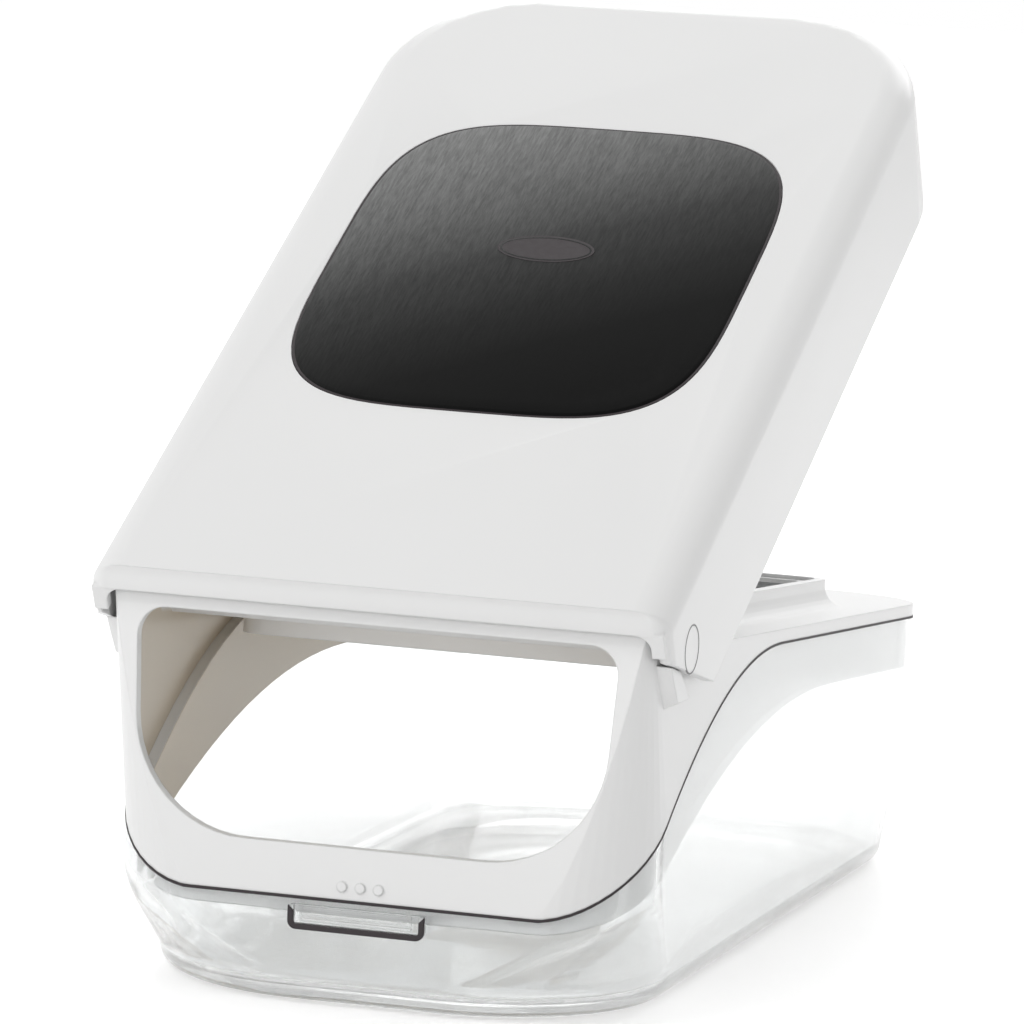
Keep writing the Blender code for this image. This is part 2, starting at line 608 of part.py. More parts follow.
def blade(name, half_length, look):
    """One blade along its local X, with a ground upper edge."""
    half = BLADE_THICKNESS / 2
    shoulder = BLADE_HEIGHT - BLADE_EDGE
    section = [(-half, 0), (half, 0), (half, shoulder), (half / 4, BLADE_HEIGHT),
               (-half / 4, BLADE_HEIGHT), (-half, shoulder)]
    return add_object(name, prism_x(section, -half_length, half_length), look)


def build_blades(deck, look):
    """Lower blades along the box, upper blades across it."""
    for k in range(1, COLUMNS):
        item = blade(f"blade_long_{k}", GRID_HALF_Y - CLEAR, look)
        item.parent = deck
        item.rotation_euler.z = math.pi / 2
        item.location = (-GRID_HALF_X + k * CELL_X, GRID_Y, FRAME_BOTTOM)
    for k in range(1, ROWS):
        item = blade(f"blade_cross_{k}", GRID_HALF_X - CLEAR, look)
        item.parent = deck
        item.location = (0, GRID_Y - GRID_HALF_Y + k * CELL_Y, FRAME_TOP - BLADE_HEIGHT)


def lid_ring(inset, height, front, front_corner):
    """One level of the lid's outer or inner skin."""
    right = half_plan(LID_HALF_WIDTH - inset, front, LID_REAR - inset,
                      max(front_corner - inset, 0.5 * MM), LID_REAR_CORNER - inset)
    return [(x, y, height) for x, y in closed_plan(right)]


def lid_skin(inset, low, top, fillet, front):
    """Closed solid of the lid's outside or of its hollow, with a filleted upper edge."""
    rings = [lid_ring(inset, low, front, LID_FRONT_CORNER)]
    for step in range(FILLET_STEPS + 1):
        turn = math.pi / 2 * step / FILLET_STEPS
        pull = fillet * (1 - math.cos(turn))
        rise = fillet * math.sin(turn)
        rings.append(lid_ring(inset + pull, top - fillet + rise, front + min(pull, 2.4 * MM) / 2,
                              LID_FRONT_CORNER))
    return loft(rings)


def pad_outline(grow):
    """Rounded square on the lid, grown outward."""
    half_x = LID_HALF_WIDTH - PAD_SIDE_MARGIN + grow
    half_y = PAD_HALF_LENGTH + grow
    power = 2 / PAD_SQUARENESS
    return [(half_x * math.copysign(abs(c) ** power, c),
             LID_FRONT + PAD_CENTRE + half_y * math.copysign(abs(s) ** power, s))
            for c, s in circle((0, 0), 1, PAD_STEPS)]


def pad_solid(grow, low, high):
    """Plate with the pad's outline between two heights."""
    outline = pad_outline(grow)
    return loft([[(x, y, low) for x, y in outline], [(x, y, high) for x, y in outline]])


def build_lid(pivot, look):
    """White lid with a thick front edge, deep sides and sockets for the hinge pins."""
    lid = add_object("lid_shell", lid_skin(0.0, LID_LOWER_EDGE, LID_TOP, LID_FILLET, LID_FRONT), look)
    hollow = lid_skin(LID_WALL, LID_LOWER_EDGE - LID_WALL, LID_TOP - LID_PLATE,
                      LID_FILLET - LID_WALL, LID_FRONT + BEAD_THICKNESS)
    tools = [cutter("lid_hollow", hollow)]
    inner = LID_HALF_WIDTH - LID_WALL
    tools.append(cutter("lid_mouth", box((-inner, 3 * LID_FRONT, 3 * LID_LOWER_EDGE),
                                         (inner, LID_FRONT + BEAD_THICKNESS + 1 * MM, LID_TOP - BEAD_DEPTH))))
    along, foot = cheek_line(CHEEK_EDGE_DISTANCE, CHEEK_EDGE_ANGLE)
    front_z = LID_TOP - CHEEK_FRONT_DROP
    reach = (foot.y - front_z) / along.y
    knee = foot - along * reach
    end = foot + along * LID_HALF_WIDTH
    outline = [(3 * LID_FRONT, front_z), tuple(knee), tuple(end), (3 * LID_FRONT, end.y)]
    tools.append(cutter("cheek_edge", prism_x(outline, -2 * LID_HALF_WIDTH, 2 * LID_HALF_WIDTH)))
    tools.append(cutter("pin_socket", cylinder_x(0, 0, HINGE_PIN_RADIUS + HINGE_CLEAR,
                                                 -2 * LID_HALF_WIDTH, 2 * LID_HALF_WIDTH)))
    tools.append(cutter("pad_recess", pad_solid(CLEAR, LID_TOP - PAD_RECESS, LID_TOP + LID_WALL)))
    for tool in tools:
        tool.parent = pivot
        boolean(lid, tool, "DIFFERENCE")
    lid.parent = pivot
    return lid


def build_pad(pivot, look):
    """Soft pad for the palm, seated in a shallow recess of the lid."""
    low = LID_TOP - PAD_RECESS + CLEAR
    pad = add_object("lid_pad", pad_solid(0.0, low, low + PAD_THICKNESS), look)
    pad.parent = pivot
    return pad


def peg_lines(count, cell):
    """Edges of the pegs along one direction, centred on zero, with the tray's own edges."""
    half = count * cell / 2
    lines = [-half - TRAY_MARGIN]
    for k in range(count):
        centre = -half + (k + 0.5) * cell
        lines += [centre - PEG_SHARE * cell / 2, centre + PEG_SHARE * cell / 2]
    return lines + [half + TRAY_MARGIN]


def blade_plane(y):
    """Height of the blades' upper edges from the hinge axis, at distance y behind it."""
    return deck_height(HINGE_Y + y) + FRAME_TOP / math.cos(DECK_ANGLE) - HINGE_Z


def pusher_frame():
    """Pusher's middle, its floor and its roof from the hinge axis, lid closed."""
    centre = GRID_SHIFT - HINGE_Y
    floor = blade_plane(centre - GRID_HALF_Y) + TRAY_LIFT
    return centre, floor, LID_TOP - LID_PLATE - CLEAR


def pusher_block():
    """Solid tray with tapered pegs whose tips follow the sloping blades."""
    centre, floor, roof = pusher_frame()
    xs = peg_lines(COLUMNS, CELL_X)
    ys = [y + centre for y in peg_lines(ROWS, CELL_Y)]
    bm = bmesh.new()
    grid = [[bm.verts.new((x, y, floor)) for y in ys] for x in xs]
    pegs = []
    for i in range(len(xs) - 1):
        for j in range(len(ys) - 1):
            face = bm.faces.new((grid[i][j], grid[i][j + 1], grid[i + 1][j + 1], grid[i + 1][j]))
            if i % 2 and j % 2:
                pegs.append(face)
    rim = [grid[i][0] for i in range(len(xs))] + [grid[-1][j] for j in range(1, len(ys))]
    rim += [grid[i][-1] for i in range(len(xs) - 2, -1, -1)] + [grid[0][j] for j in range(len(ys) - 2, 0, -1)]
    top = [bm.verts.new((v.co.x, v.co.y, roof)) for v in rim]
    for k in range(len(rim)):
        n = (k + 1) % len(rim)
        bm.faces.new((rim[k], rim[n], top[n], top[k]))
    bm.faces.new(top)
    shrink = 1 - 2 * PEG_TAPER / (PEG_SHARE * CELL_X)
    for face in pegs:
        moved = bmesh.ops.extrude_discrete_faces(bm, faces=[face])["faces"][0]
        middle = moved.calc_center_median()
        for vert in moved.verts:
            vert.co.x = middle.x + (vert.co.x - middle.x) * shrink
            vert.co.y = middle.y + (vert.co.y - middle.y) * shrink
            vert.co.z = blade_plane(vert.co.y) - PEG_ENGAGEMENT
    return bm


def build_pusher(pivot, look):
    """Tray under the lid with a grid of square pegs that press the food through the blades."""
    centre, floor, roof = pusher_frame()
    half_x = GRID_HALF_X + TRAY_MARGIN
    half_y = GRID_HALF_Y + TRAY_MARGIN
    pusher = add_object("pusher_grid", pusher_block(), look)
    hollow = box((-half_x + TRAY_WALL, centre - half_y + TRAY_WALL, floor + TRAY_FLOOR),
                 (half_x - TRAY_WALL, centre + half_y - TRAY_WALL, 2 * roof))
    flange_y = half_y - FLANGE_INSET
    flange = slab(half_plan(half_x + FLANGE_WIDTH, centre - flange_y, centre + flange_y,
                            SCREW_HEAD, SCREW_HEAD), lambda y: roof - FLANGE_THICKNESS, lambda y: roof)
    tools = [(cutter("tray_flange", flange), "UNION"), (cutter("tray_hollow", hollow), "DIFFERENCE")]
    for x, y in screw_places():
        hole = circle((x, y), SCREW_SHANK + CLEAR, CIRCLE_STEPS)
        tools.append((cutter("screw_hole", loft([[(a, b, roof - 2 * FLANGE_THICKNESS) for a, b in hole],
                                                 [(a, b, 2 * roof) for a, b in hole]])), "DIFFERENCE"))
    for tool, operation in tools:
        tool.parent = pivot
        boolean(pusher, tool, operation)
    pusher.parent = pivot


def screw_places():
    """Plan positions of the pusher's screws from the hinge axis."""
    centre = GRID_SHIFT - HINGE_Y
    x = GRID_HALF_X + TRAY_MARGIN + FLANGE_WIDTH / 2
    y = GRID_HALF_Y - SCREW_INSET_Y
    return [(side * x, centre + end * y) for end in (-1, 1) for side in (-1, 1)]


def build_screws(pivot, look):
    """Screws that hold the pusher's flange to the lid."""
    roof = pusher_frame()[2]
    head_top = roof - FLANGE_THICKNESS - CLEAR
    profile = [(SCREW_HEAD * 0.7, head_top - SCREW_HEAD_HEIGHT), (SCREW_HEAD, head_top - SCREW_HEAD_HEIGHT * 0.5),
               (SCREW_HEAD, head_top), (SCREW_SHANK, head_top), (SCREW_SHANK, roof)]
    for k, (x, y) in enumerate(screw_places(), 1):
        rings = [[(u, v, z) for u, v in circle((0, 0), radius, CIRCLE_STEPS)] for radius, z in profile]
        screw = add_object(f"pusher_screw_{k}", loft(rings), look)
        screw.location = (x, y, 0)
        screw.parent = pivot


def main():
    for obj in list(bpy.data.objects):
        bpy.data.objects.remove(obj, do_unlink=True)
    white = material("white_plastic", (0.82, 0.82, 0.81), 0.32)
    clear = material("clear_plastic", (0.93, 0.95, 0.95), 0.05, alpha=0.25, transmission=1.0)
    soft = material("black_soft_pad", (0.045, 0.048, 0.05), 0.55)
    steel = material("blade_steel", (0.62, 0.62, 0.63), 0.25, metallic=1.0)
    pivot = bpy.data.objects.new("lid_pivot", None)
    pivot.location = (0, HINGE_Y, HINGE_Z)
    pivot.rotation_euler = (LID_OPEN_ANGLE, 0, 0)
    bpy.context.scene.collection.objects.link(pivot)
    deck = bpy.data.objects.new("deck_plane", None)
    deck.location = (0, HALF_LENGTH, DECK_REAR)
    deck.rotation_euler = (-DECK_ANGLE, 0, 0)
    bpy.context.scene.collection.objects.link(deck)
    build_container(clear)
    build_body(deck, white)
    build_blade_frame(deck, white)
    build_blades(deck, steel)
    build_lid(pivot, white)
    build_pad(pivot, soft)
    build_pusher(pivot, white)
    build_screws(pivot, steel)


main()
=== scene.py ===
"""Dress the vegetable chopper: clear container, white body, blade grid and pressing lid."""
import logging
import math
from dataclasses import dataclass
from enum import Enum

import bmesh
import bpy
from mathutils import Matrix, Vector

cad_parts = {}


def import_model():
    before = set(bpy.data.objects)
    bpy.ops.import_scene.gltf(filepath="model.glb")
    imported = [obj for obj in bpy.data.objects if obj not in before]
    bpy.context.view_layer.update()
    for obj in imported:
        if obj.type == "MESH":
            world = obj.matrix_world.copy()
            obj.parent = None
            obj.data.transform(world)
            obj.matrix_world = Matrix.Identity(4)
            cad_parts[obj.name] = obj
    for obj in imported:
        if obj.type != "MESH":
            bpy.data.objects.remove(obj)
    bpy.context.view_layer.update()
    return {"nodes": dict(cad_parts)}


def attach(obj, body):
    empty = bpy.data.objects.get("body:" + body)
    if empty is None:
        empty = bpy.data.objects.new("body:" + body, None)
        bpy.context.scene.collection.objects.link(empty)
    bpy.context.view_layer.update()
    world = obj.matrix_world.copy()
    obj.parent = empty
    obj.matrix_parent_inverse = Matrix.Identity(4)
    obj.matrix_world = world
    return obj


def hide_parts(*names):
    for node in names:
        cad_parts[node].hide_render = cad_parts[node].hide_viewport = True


MM = 0.001
HALF_WIDTH = 58.2 * MM
HALF_LENGTH = 124.3 * MM
DECK_REAR = 58.3 * MM
DECK_SLOPE = 0.082
HINGE = (0.0, -104.4 * MM, 77.7034 * MM)
LID_ANGLE = math.radians(28)
FRONT_CHAMBER_END = -95 * MM
LOG = logging.getLogger("chopper")


class Edge(Enum):
    """Radii by which edges are softened."""

    MOULDED = 0.6 * MM


class Value:
    """A number socket that takes part in Python arithmetic."""

    def __init__(self, shade: "Shade", socket: bpy.types.NodeSocket) -> None:
        """Keep the socket and the material it belongs to."""
        self.shade = shade
        self.socket = socket

    def _math(self, operation: str, other: object, swap: bool = False) -> "Value":
        """Add one Math node.

        Args:
            operation: the Math node's operation.
            other: the second operand, a Value or a number.
            swap: puts the operands the other way round.

        Returns:
            The node's result.
        """
        pair = (other, self) if swap else (self, other)
        return self.shade.node("ShaderNodeMath", {"operation": operation}, {0: pair[0], 1: pair[1]})

    def __add__(self, other: object) -> "Value":
        """Sum."""
        return self._math("ADD", other)

    __radd__ = __add__

    def __sub__(self, other: object) -> "Value":
        """Difference."""
        return self._math("SUBTRACT", other)

    def __rsub__(self, other: object) -> "Value":
        """Reflected difference."""
        return self._math("SUBTRACT", other, swap=True)

    def __mul__(self, other: object) -> "Value":
        """Product."""
        return self._math("MULTIPLY", other)

    __rmul__ = __mul__

    def __abs__(self) -> "Value":
        """Size without sign."""
        return self._math("ABSOLUTE", 0.0)

    def clamped(self) -> "Value":
        """The value kept between 0 and 1."""
        return self.shade.node("ShaderNodeClamp", {}, {"Value": self})


class Shade:
    """A material under construction around its Principled shader."""

    def __init__(self, name: str) -> None:
        """Start a material with an empty Principled set-up.

        Args:
            name: the material's name.
        """
        self.material = bpy.data.materials.new(name)
        self.material.use_nodes = True
        self.tree = self.material.node_tree
        self.shader = self.tree.nodes["Principled BSDF"]

    def node(self, kind: str, settings: dict, values: dict, output: object = 0) -> Value:
        """Add a node.

        Args:
            kind: Blender's node type.
            settings: properties set first; a ramp's stops go under "stops".
            values: input name or index to a Value, number or tuple.
            output: name or index of the output to return.

        Returns:
            The chosen output.
        """
        made = self.tree.nodes.new(kind)
        for key, value in settings.items():
            if key == "stops":
                self._stops(made, value)
            else:
                setattr(made, key, value)
        for key, value in values.items():
            if isinstance(value, Value):
                self.tree.links.new(value.socket, made.inputs[key])
            else:
                made.inputs[key].default_value = value
        return Value(self, made.outputs[output])

    @staticmethod
    def _stops(ramp: bpy.types.Node, stops: list) -> None:
        """Set a colour ramp's stops from (position, grey) pairs."""
        elements = ramp.color_ramp.elements
        while len(elements) < len(stops):
            elements.new(0.5)
        for element, (position, grey) in zip(elements, stops):
            element.position = position
            element.color = (grey, grey, grey, 1.0)

    def place(self, scale: tuple = (1.0, 1.0, 1.0)) -> Value:
        """Object coordinates, stretched by a scale."""
        where = self.node("ShaderNodeTexCoord", {}, {}, "Object")
        return self.node("ShaderNodeMapping", {}, {"Vector": where, "Scale": scale})

    def parts(self, vector: Value) -> tuple:
        """A vector as three values."""
        first = self.node("ShaderNodeSeparateXYZ", {}, {0: vector}, 0)
        outputs = first.socket.node.outputs
        return first, Value(self, outputs[1]), Value(self, outputs[2])

    def xyz(self) -> tuple:
        """Object coordinates as three values."""
        return self.parts(self.node("ShaderNodeTexCoord", {}, {}, "Object"))

    def normal_xyz(self) -> tuple:
        """The surface's direction as three values."""
        return self.parts(self.node("ShaderNodeTexCoord", {}, {}, "Normal"))

    def noise(self, where: Value, scale: float, detail: float = 2.0, rough: float = 0.5) -> Value:
        """Noise as a grey value."""
        return self.node("ShaderNodeTexNoise", {}, {"Vector": where, "Scale": scale, "Detail": detail,
                                                    "Roughness": rough}, "Fac")

    def ramp(self, factor: Value, stops: list) -> Value:
        """Grey ramp between stops."""
        return self.node("ShaderNodeValToRGB", {"stops": stops}, {"Fac": factor})

    def blend(self, factor: Value, low: tuple, high: tuple) -> Value:
        """Mix of two colours by a factor."""
        return self.node("ShaderNodeMix", {"data_type": "RGBA"},
                         {0: factor, 6: (*low, 1.0), 7: (*high, 1.0)}, 2)

    def relief(self, height: Value, strength: float, distance: float, base: Value | None = None) -> Value:
        """Bump from a height.

        Args:
            height: the relief.
            strength: the bump's strength.
            distance: the relief's depth in metres.
            base: a normal to start from.

        Returns:
            The bumped normal.
        """
        values = {"Strength": strength, "Distance": distance, "Height": height}
        if base is not None:
            values["Normal"] = base
        return self.node("ShaderNodeBump", {}, values, "Normal")

    def rounded(self, edge: Edge) -> Value:
        """Normal that rounds every edge by the moulding radius."""
        return self.node("ShaderNodeBevel", {"samples": 6}, {"Radius": edge.value}, "Normal")

    def set(self, **sockets: object) -> None:
        """Fill the shader's sockets; underscores stand for spaces."""
        for key, value in sockets.items():
            socket = self.shader.inputs[key.replace("_", " ")]
            if isinstance(value, Value):
                self.tree.links.new(value.socket, socket)
            else:
                socket.default_value = value


@dataclass(frozen=True)
class WhitePlastic:
    """Satin white moulded plastic with a faint grain, with painted warm shade on the chamber's inward faces.
    """

    name: str = "satin_white_plastic"
    colour: tuple = (0.81, 0.81, 0.806)
    shade_colour: tuple = (0.79, 0.79, 0.787)
    # colour of the painted shade inside the chamber
    painted_shade_colour: tuple = (0.65, 0.57, 0.46)
    inside_half_width: float = 59.4 * MM
    inside_top: float = 79 * MM
    deck_thickness: float = 1.2 * MM
    fade: float = 1.2 * MM
    rim_rear: float = 119 * MM
    rim_fade: float = 4 * MM
    roughness: float = 0.34
    grain: float = 900.0
    edge: Edge = Edge.MOULDED

    def inside(self, shade: Shade) -> Value:
        """Mask of the painted shade: 1 on the chamber's surfaces that face inwards, 0 elsewhere."""
        x, y, z = shade.xyz()
        across, along, up = shade.normal_xyz()
        facing = x * across * (1 / HALF_WIDTH) + y * along * (1 / HALF_LENGTH)
        facing = facing + (z - DECK_REAR) * up * (1 / HALF_WIDTH)
        inward = ((0.02 - facing) * 8).clamped()
        near_side = ((self.inside_half_width - abs(x)) * (1 / self.fade)).clamped()
        below_top = ((self.inside_top - z) * (1 / self.fade)).clamped()
        deck = DECK_REAR + DECK_SLOPE * HALF_LENGTH - self.deck_thickness
        below_deck = ((deck - DECK_SLOPE * y - z) * (1 / self.fade)).clamped()
        in_front = ((FRONT_CHAMBER_END - y) * (1 / self.fade)).clamped()
        behind_rim = ((y + self.rim_rear) * (1 / self.rim_fade)).clamped()
        return inward * near_side * below_top * behind_rim * (below_deck + in_front).clamped()

    def material(self) -> bpy.types.Material:
        """Build the finish."""
        shade = Shade(self.name)
        where = shade.place()
        cloud = shade.noise(where, 18.0, 3.0)
        fine = shade.noise(where, self.grain, 3.0, 0.6)
        plain = shade.blend(cloud, self.shade_colour, self.colour)
        # Painted shade: the chamber's inward faces take a darker, warmer colour that stands for shade and
        # warm bounced light.
        colour = shade.node("ShaderNodeMix", {"data_type": "RGBA"},
                            {0: self.inside(shade), 6: plain, 7: (*self.painted_shade_colour, 1.0)}, 2)
        normal = shade.relief(fine, 0.05, 0.1 * MM, shade.rounded(self.edge))
        shade.set(Base_Color=colour, Roughness=self.roughness - 0.03 + 0.06 * cloud, Normal=normal,
                  Specular_IOR_Level=0.45, Coat_Weight=0.08, Coat_Roughness=0.12)
        return shade.material


@dataclass(frozen=True)
class ClearPlastic:
    """Water-clear moulded plastic."""

    name: str = "clear_plastic"
    colour: tuple = (0.905, 0.92, 0.92)
    roughness: float = 0.03
    ior: float = 1.49
    alpha: float = 0.76

    def material(self) -> bpy.types.Material:
        """Build the finish."""
        shade = Shade(self.name)
        where = shade.place()
        wave = shade.noise(where, 26.0, 2.0)
        specks = shade.noise(shade.place((1.0, 1.0, 6.0)), 240.0, 4.0, 0.7)
        scuff = shade.ramp(specks, [(0.55, 0.0), (0.8, 1.0)])
        shade.set(Base_Color=(*self.colour, 1.0), Roughness=self.roughness + 0.05 * scuff,
                  Normal=shade.relief(wave, 0.06, 0.4 * MM), IOR=self.ior, Transmission_Weight=1.0,
                  Alpha=self.alpha)
        return shade.material


@dataclass(frozen=True)
class SoftTouch:
    """Dark soft pad with fine brushed streaks and a painted reflection that pales it towards its far left
    corner.
    """

    name: str = "dark_soft_touch"
    # greys of the painted reflection, from the pale corner to the dark far side
    stops: tuple = ((0.0, 0.23), (0.22, 0.158), (0.48, 0.05), (0.66, 0.021), (0.80, 0.009), (1.0, 0.005))
    middle: float = 107.9 * MM
    fall_along: float = 7.34
    fall_across: float = 5.0
    start: float = 0.53
    streak_share: float = 0.5
    roughness: float = 0.5

    def painted_reflection_fade(self, shade: Shade) -> Value:
        """How far a point lies from the painted reflection's pale corner, 0 to 1."""
        x, y, z = shade.xyz()
        along = (y - HINGE[1]) * math.cos(LID_ANGLE) + (z - HINGE[2]) * math.sin(LID_ANGLE)
        return (self.start - (along - self.middle) * self.fall_along + x * self.fall_across).clamped()

    def material(self) -> bpy.types.Material:
        """Build the finish."""
        shade = Shade(self.name)
        streak = shade.noise(shade.place((1.0, 0.11, 0.11)), 1900.0, 3.0, 0.7)
        broad = shade.noise(shade.place((1.0, 0.12, 0.12)), 420.0, 3.0)
        mask = shade.ramp(0.75 * streak + 0.25 * broad, [(0.36, 0.0), (0.64, 1.0)])
        # Painted reflection: the base colour fades from pale grey at the far left corner to near black.
        grey = shade.ramp(self.painted_reflection_fade(shade), list(self.stops))
        level = grey * (1 - self.streak_share / 2 + self.streak_share * mask)
        colour = shade.node("ShaderNodeCombineColor", {}, {0: level * 0.99, 1: level, 2: level * 0.99})
        shade.set(Base_Color=colour, Roughness=self.roughness + 0.16 * mask,
                  Normal=shade.relief(streak, 0.2, 0.12 * MM), Specular_IOR_Level=0.03)
        return shade.material


@dataclass(frozen=True)
class GroundSteel:
    """Ground blade steel with lines along Z."""

    name: str = "ground_steel"
    colour: tuple = (0.56, 0.565, 0.57)
    roughness: float = 0.24

    def material(self) -> bpy.types.Material:
        """Build the finish."""
        shade = Shade(self.name)
        lines = shade.noise(shade.place((1.0, 1.0, 0.05)), 1800.0, 3.0, 0.6)
        shade.set(Base_Color=shade.blend(lines, (0.46, 0.465, 0.47), self.colour), Metallic=1.0,
                  Roughness=self.roughness + 0.12 * lines, Normal=shade.relief(lines, 0.15, 0.05 * MM))
        return shade.material


@dataclass(frozen=True)
class PaintedGapShade:
    """Matt near-black finish of painted shade, worn by the seam ring and by the lines that stand for shaded
    gaps.
    """

    name: str = "painted_gap_shade"
    colour: tuple = (0.016, 0.011, 0.013)

    def material(self) -> bpy.types.Material:
        """Build the finish."""
        shade = Shade(self.name)
        grain = shade.noise(shade.place(), 700.0, 3.0)
        pale = tuple(1.4 * part for part in self.colour)
        shade.set(Base_Color=shade.blend(grain, self.colour, pale), Roughness=0.5 + 0.2 * grain,
                  Normal=shade.relief(grain, 0.1, 0.1 * MM))
        return shade.material


class Bench:
    """Operator work on one mesh at a time."""

    @staticmethod
    def clear() -> None:
        """Leave nothing selected."""
        if bpy.context.object and bpy.context.object.mode != "OBJECT":
            bpy.ops.object.mode_set(mode="OBJECT")
        bpy.ops.object.select_all(action="DESELECT")

    @classmethod
    def take(cls, obj: bpy.types.Object) -> bpy.types.Object:
        """Make one object the active and only selected one."""
        cls.clear()
        bpy.context.view_layer.objects.active = obj
        obj.select_set(True)
        return obj

    @classmethod
    def name(cls, name: str) -> bpy.types.Object:
        """Name the object that an operator has just made."""
        obj = bpy.context.active_object
        obj.name = name
        obj.data.name = name
        return obj

    @classmethod
    def pick(cls, obj: bpy.types.Object, test: object, mode: str = "FACE") -> None:
        """Enter edit mode with the faces, edges or vertices that pass a test selected.

        Args:
            obj: the mesh object.
            test: function of the element, true for those to select.
            mode: FACE, EDGE or VERT.
        """
        cls.take(obj)
        bpy.ops.object.mode_set(mode="EDIT")
        bpy.context.tool_settings.mesh_select_mode = (mode == "VERT", mode == "EDGE", mode == "FACE")
        bm = bmesh.from_edit_mesh(obj.data)
        for group in (bm.verts, bm.edges, bm.faces):
            for item in group:
                item.select_set(False)
        chosen = {"VERT": bm.verts, "EDGE": bm.edges, "FACE": bm.faces}[mode]
        for item in [item for item in chosen if test(item)]:
            item.select_set(True)
        bm.select_flush_mode()
        bmesh.update_edit_mesh(obj.data)

    @classmethod
    def done(cls) -> None:
        """Return to object mode."""
        bpy.ops.object.mode_set(mode="OBJECT")

    @classmethod
    def apply(cls, obj: bpy.types.Object, kind: str, **settings: object) -> None:
        """Add a modifier and apply it."""
        cls.take(obj)
        modifier = obj.modifiers.new(kind.lower(), kind)
        for key, value in settings.items():
            setattr(modifier, key, value)
        bpy.ops.object.modifier_apply(modifier=modifier.name)

    @classmethod
    def join(cls, target: bpy.types.Object, tool: bpy.types.Object, operation: str) -> None:
        """Apply a Boolean and drop its tool."""
        cls.apply(target, "BOOLEAN", operation=operation, solver="EXACT", object=tool)
        bpy.data.objects.remove(tool, do_unlink=True)

    @classmethod
    def settle(cls, obj: bpy.types.Object, angle: float = 35.0) -> None:
        """Bake the object's place into its mesh and smooth its rounds."""
        cls.take(obj)
        bpy.ops.object.transform_apply(location=True, rotation=True, scale=True)
        bpy.ops.object.mode_set(mode="EDIT")
        bpy.ops.mesh.select_all(action="SELECT")
        bpy.ops.mesh.remove_doubles(threshold=0.002 * MM)
        bpy.ops.mesh.normals_make_consistent(inside=False)
        bpy.ops.object.mode_set(mode="OBJECT")
        bpy.ops.object.shade_smooth_by_angle(angle=math.radians(angle))


def dress(obj: bpy.types.Object, material: bpy.types.Material) -> None:
    """Give an object one material."""
    obj.data.materials.clear()
    obj.data.materials.append(material)


def rising(y: float, front: float, high: float, start: float, end: float, ease: float) -> float:
    """S-shaped edge: level at the front, meeting the height above it at its end."""
    t = min(max((y - start) / (end - start), 0.0), 1.0)
    return front + (high - front) * math.sin(t * math.pi / 2) ** ease


@dataclass(frozen=True)
class Finishes:
    """Materials shared by the sub-assemblies."""

    white: bpy.types.Material
    clear: bpy.types.Material
    soft: bpy.types.Material
    steel: bpy.types.Material
    # painted shade for the seam, tab, pad and badge lines
    painted_shade_line: bpy.types.Material
    pin_line: bpy.types.Material


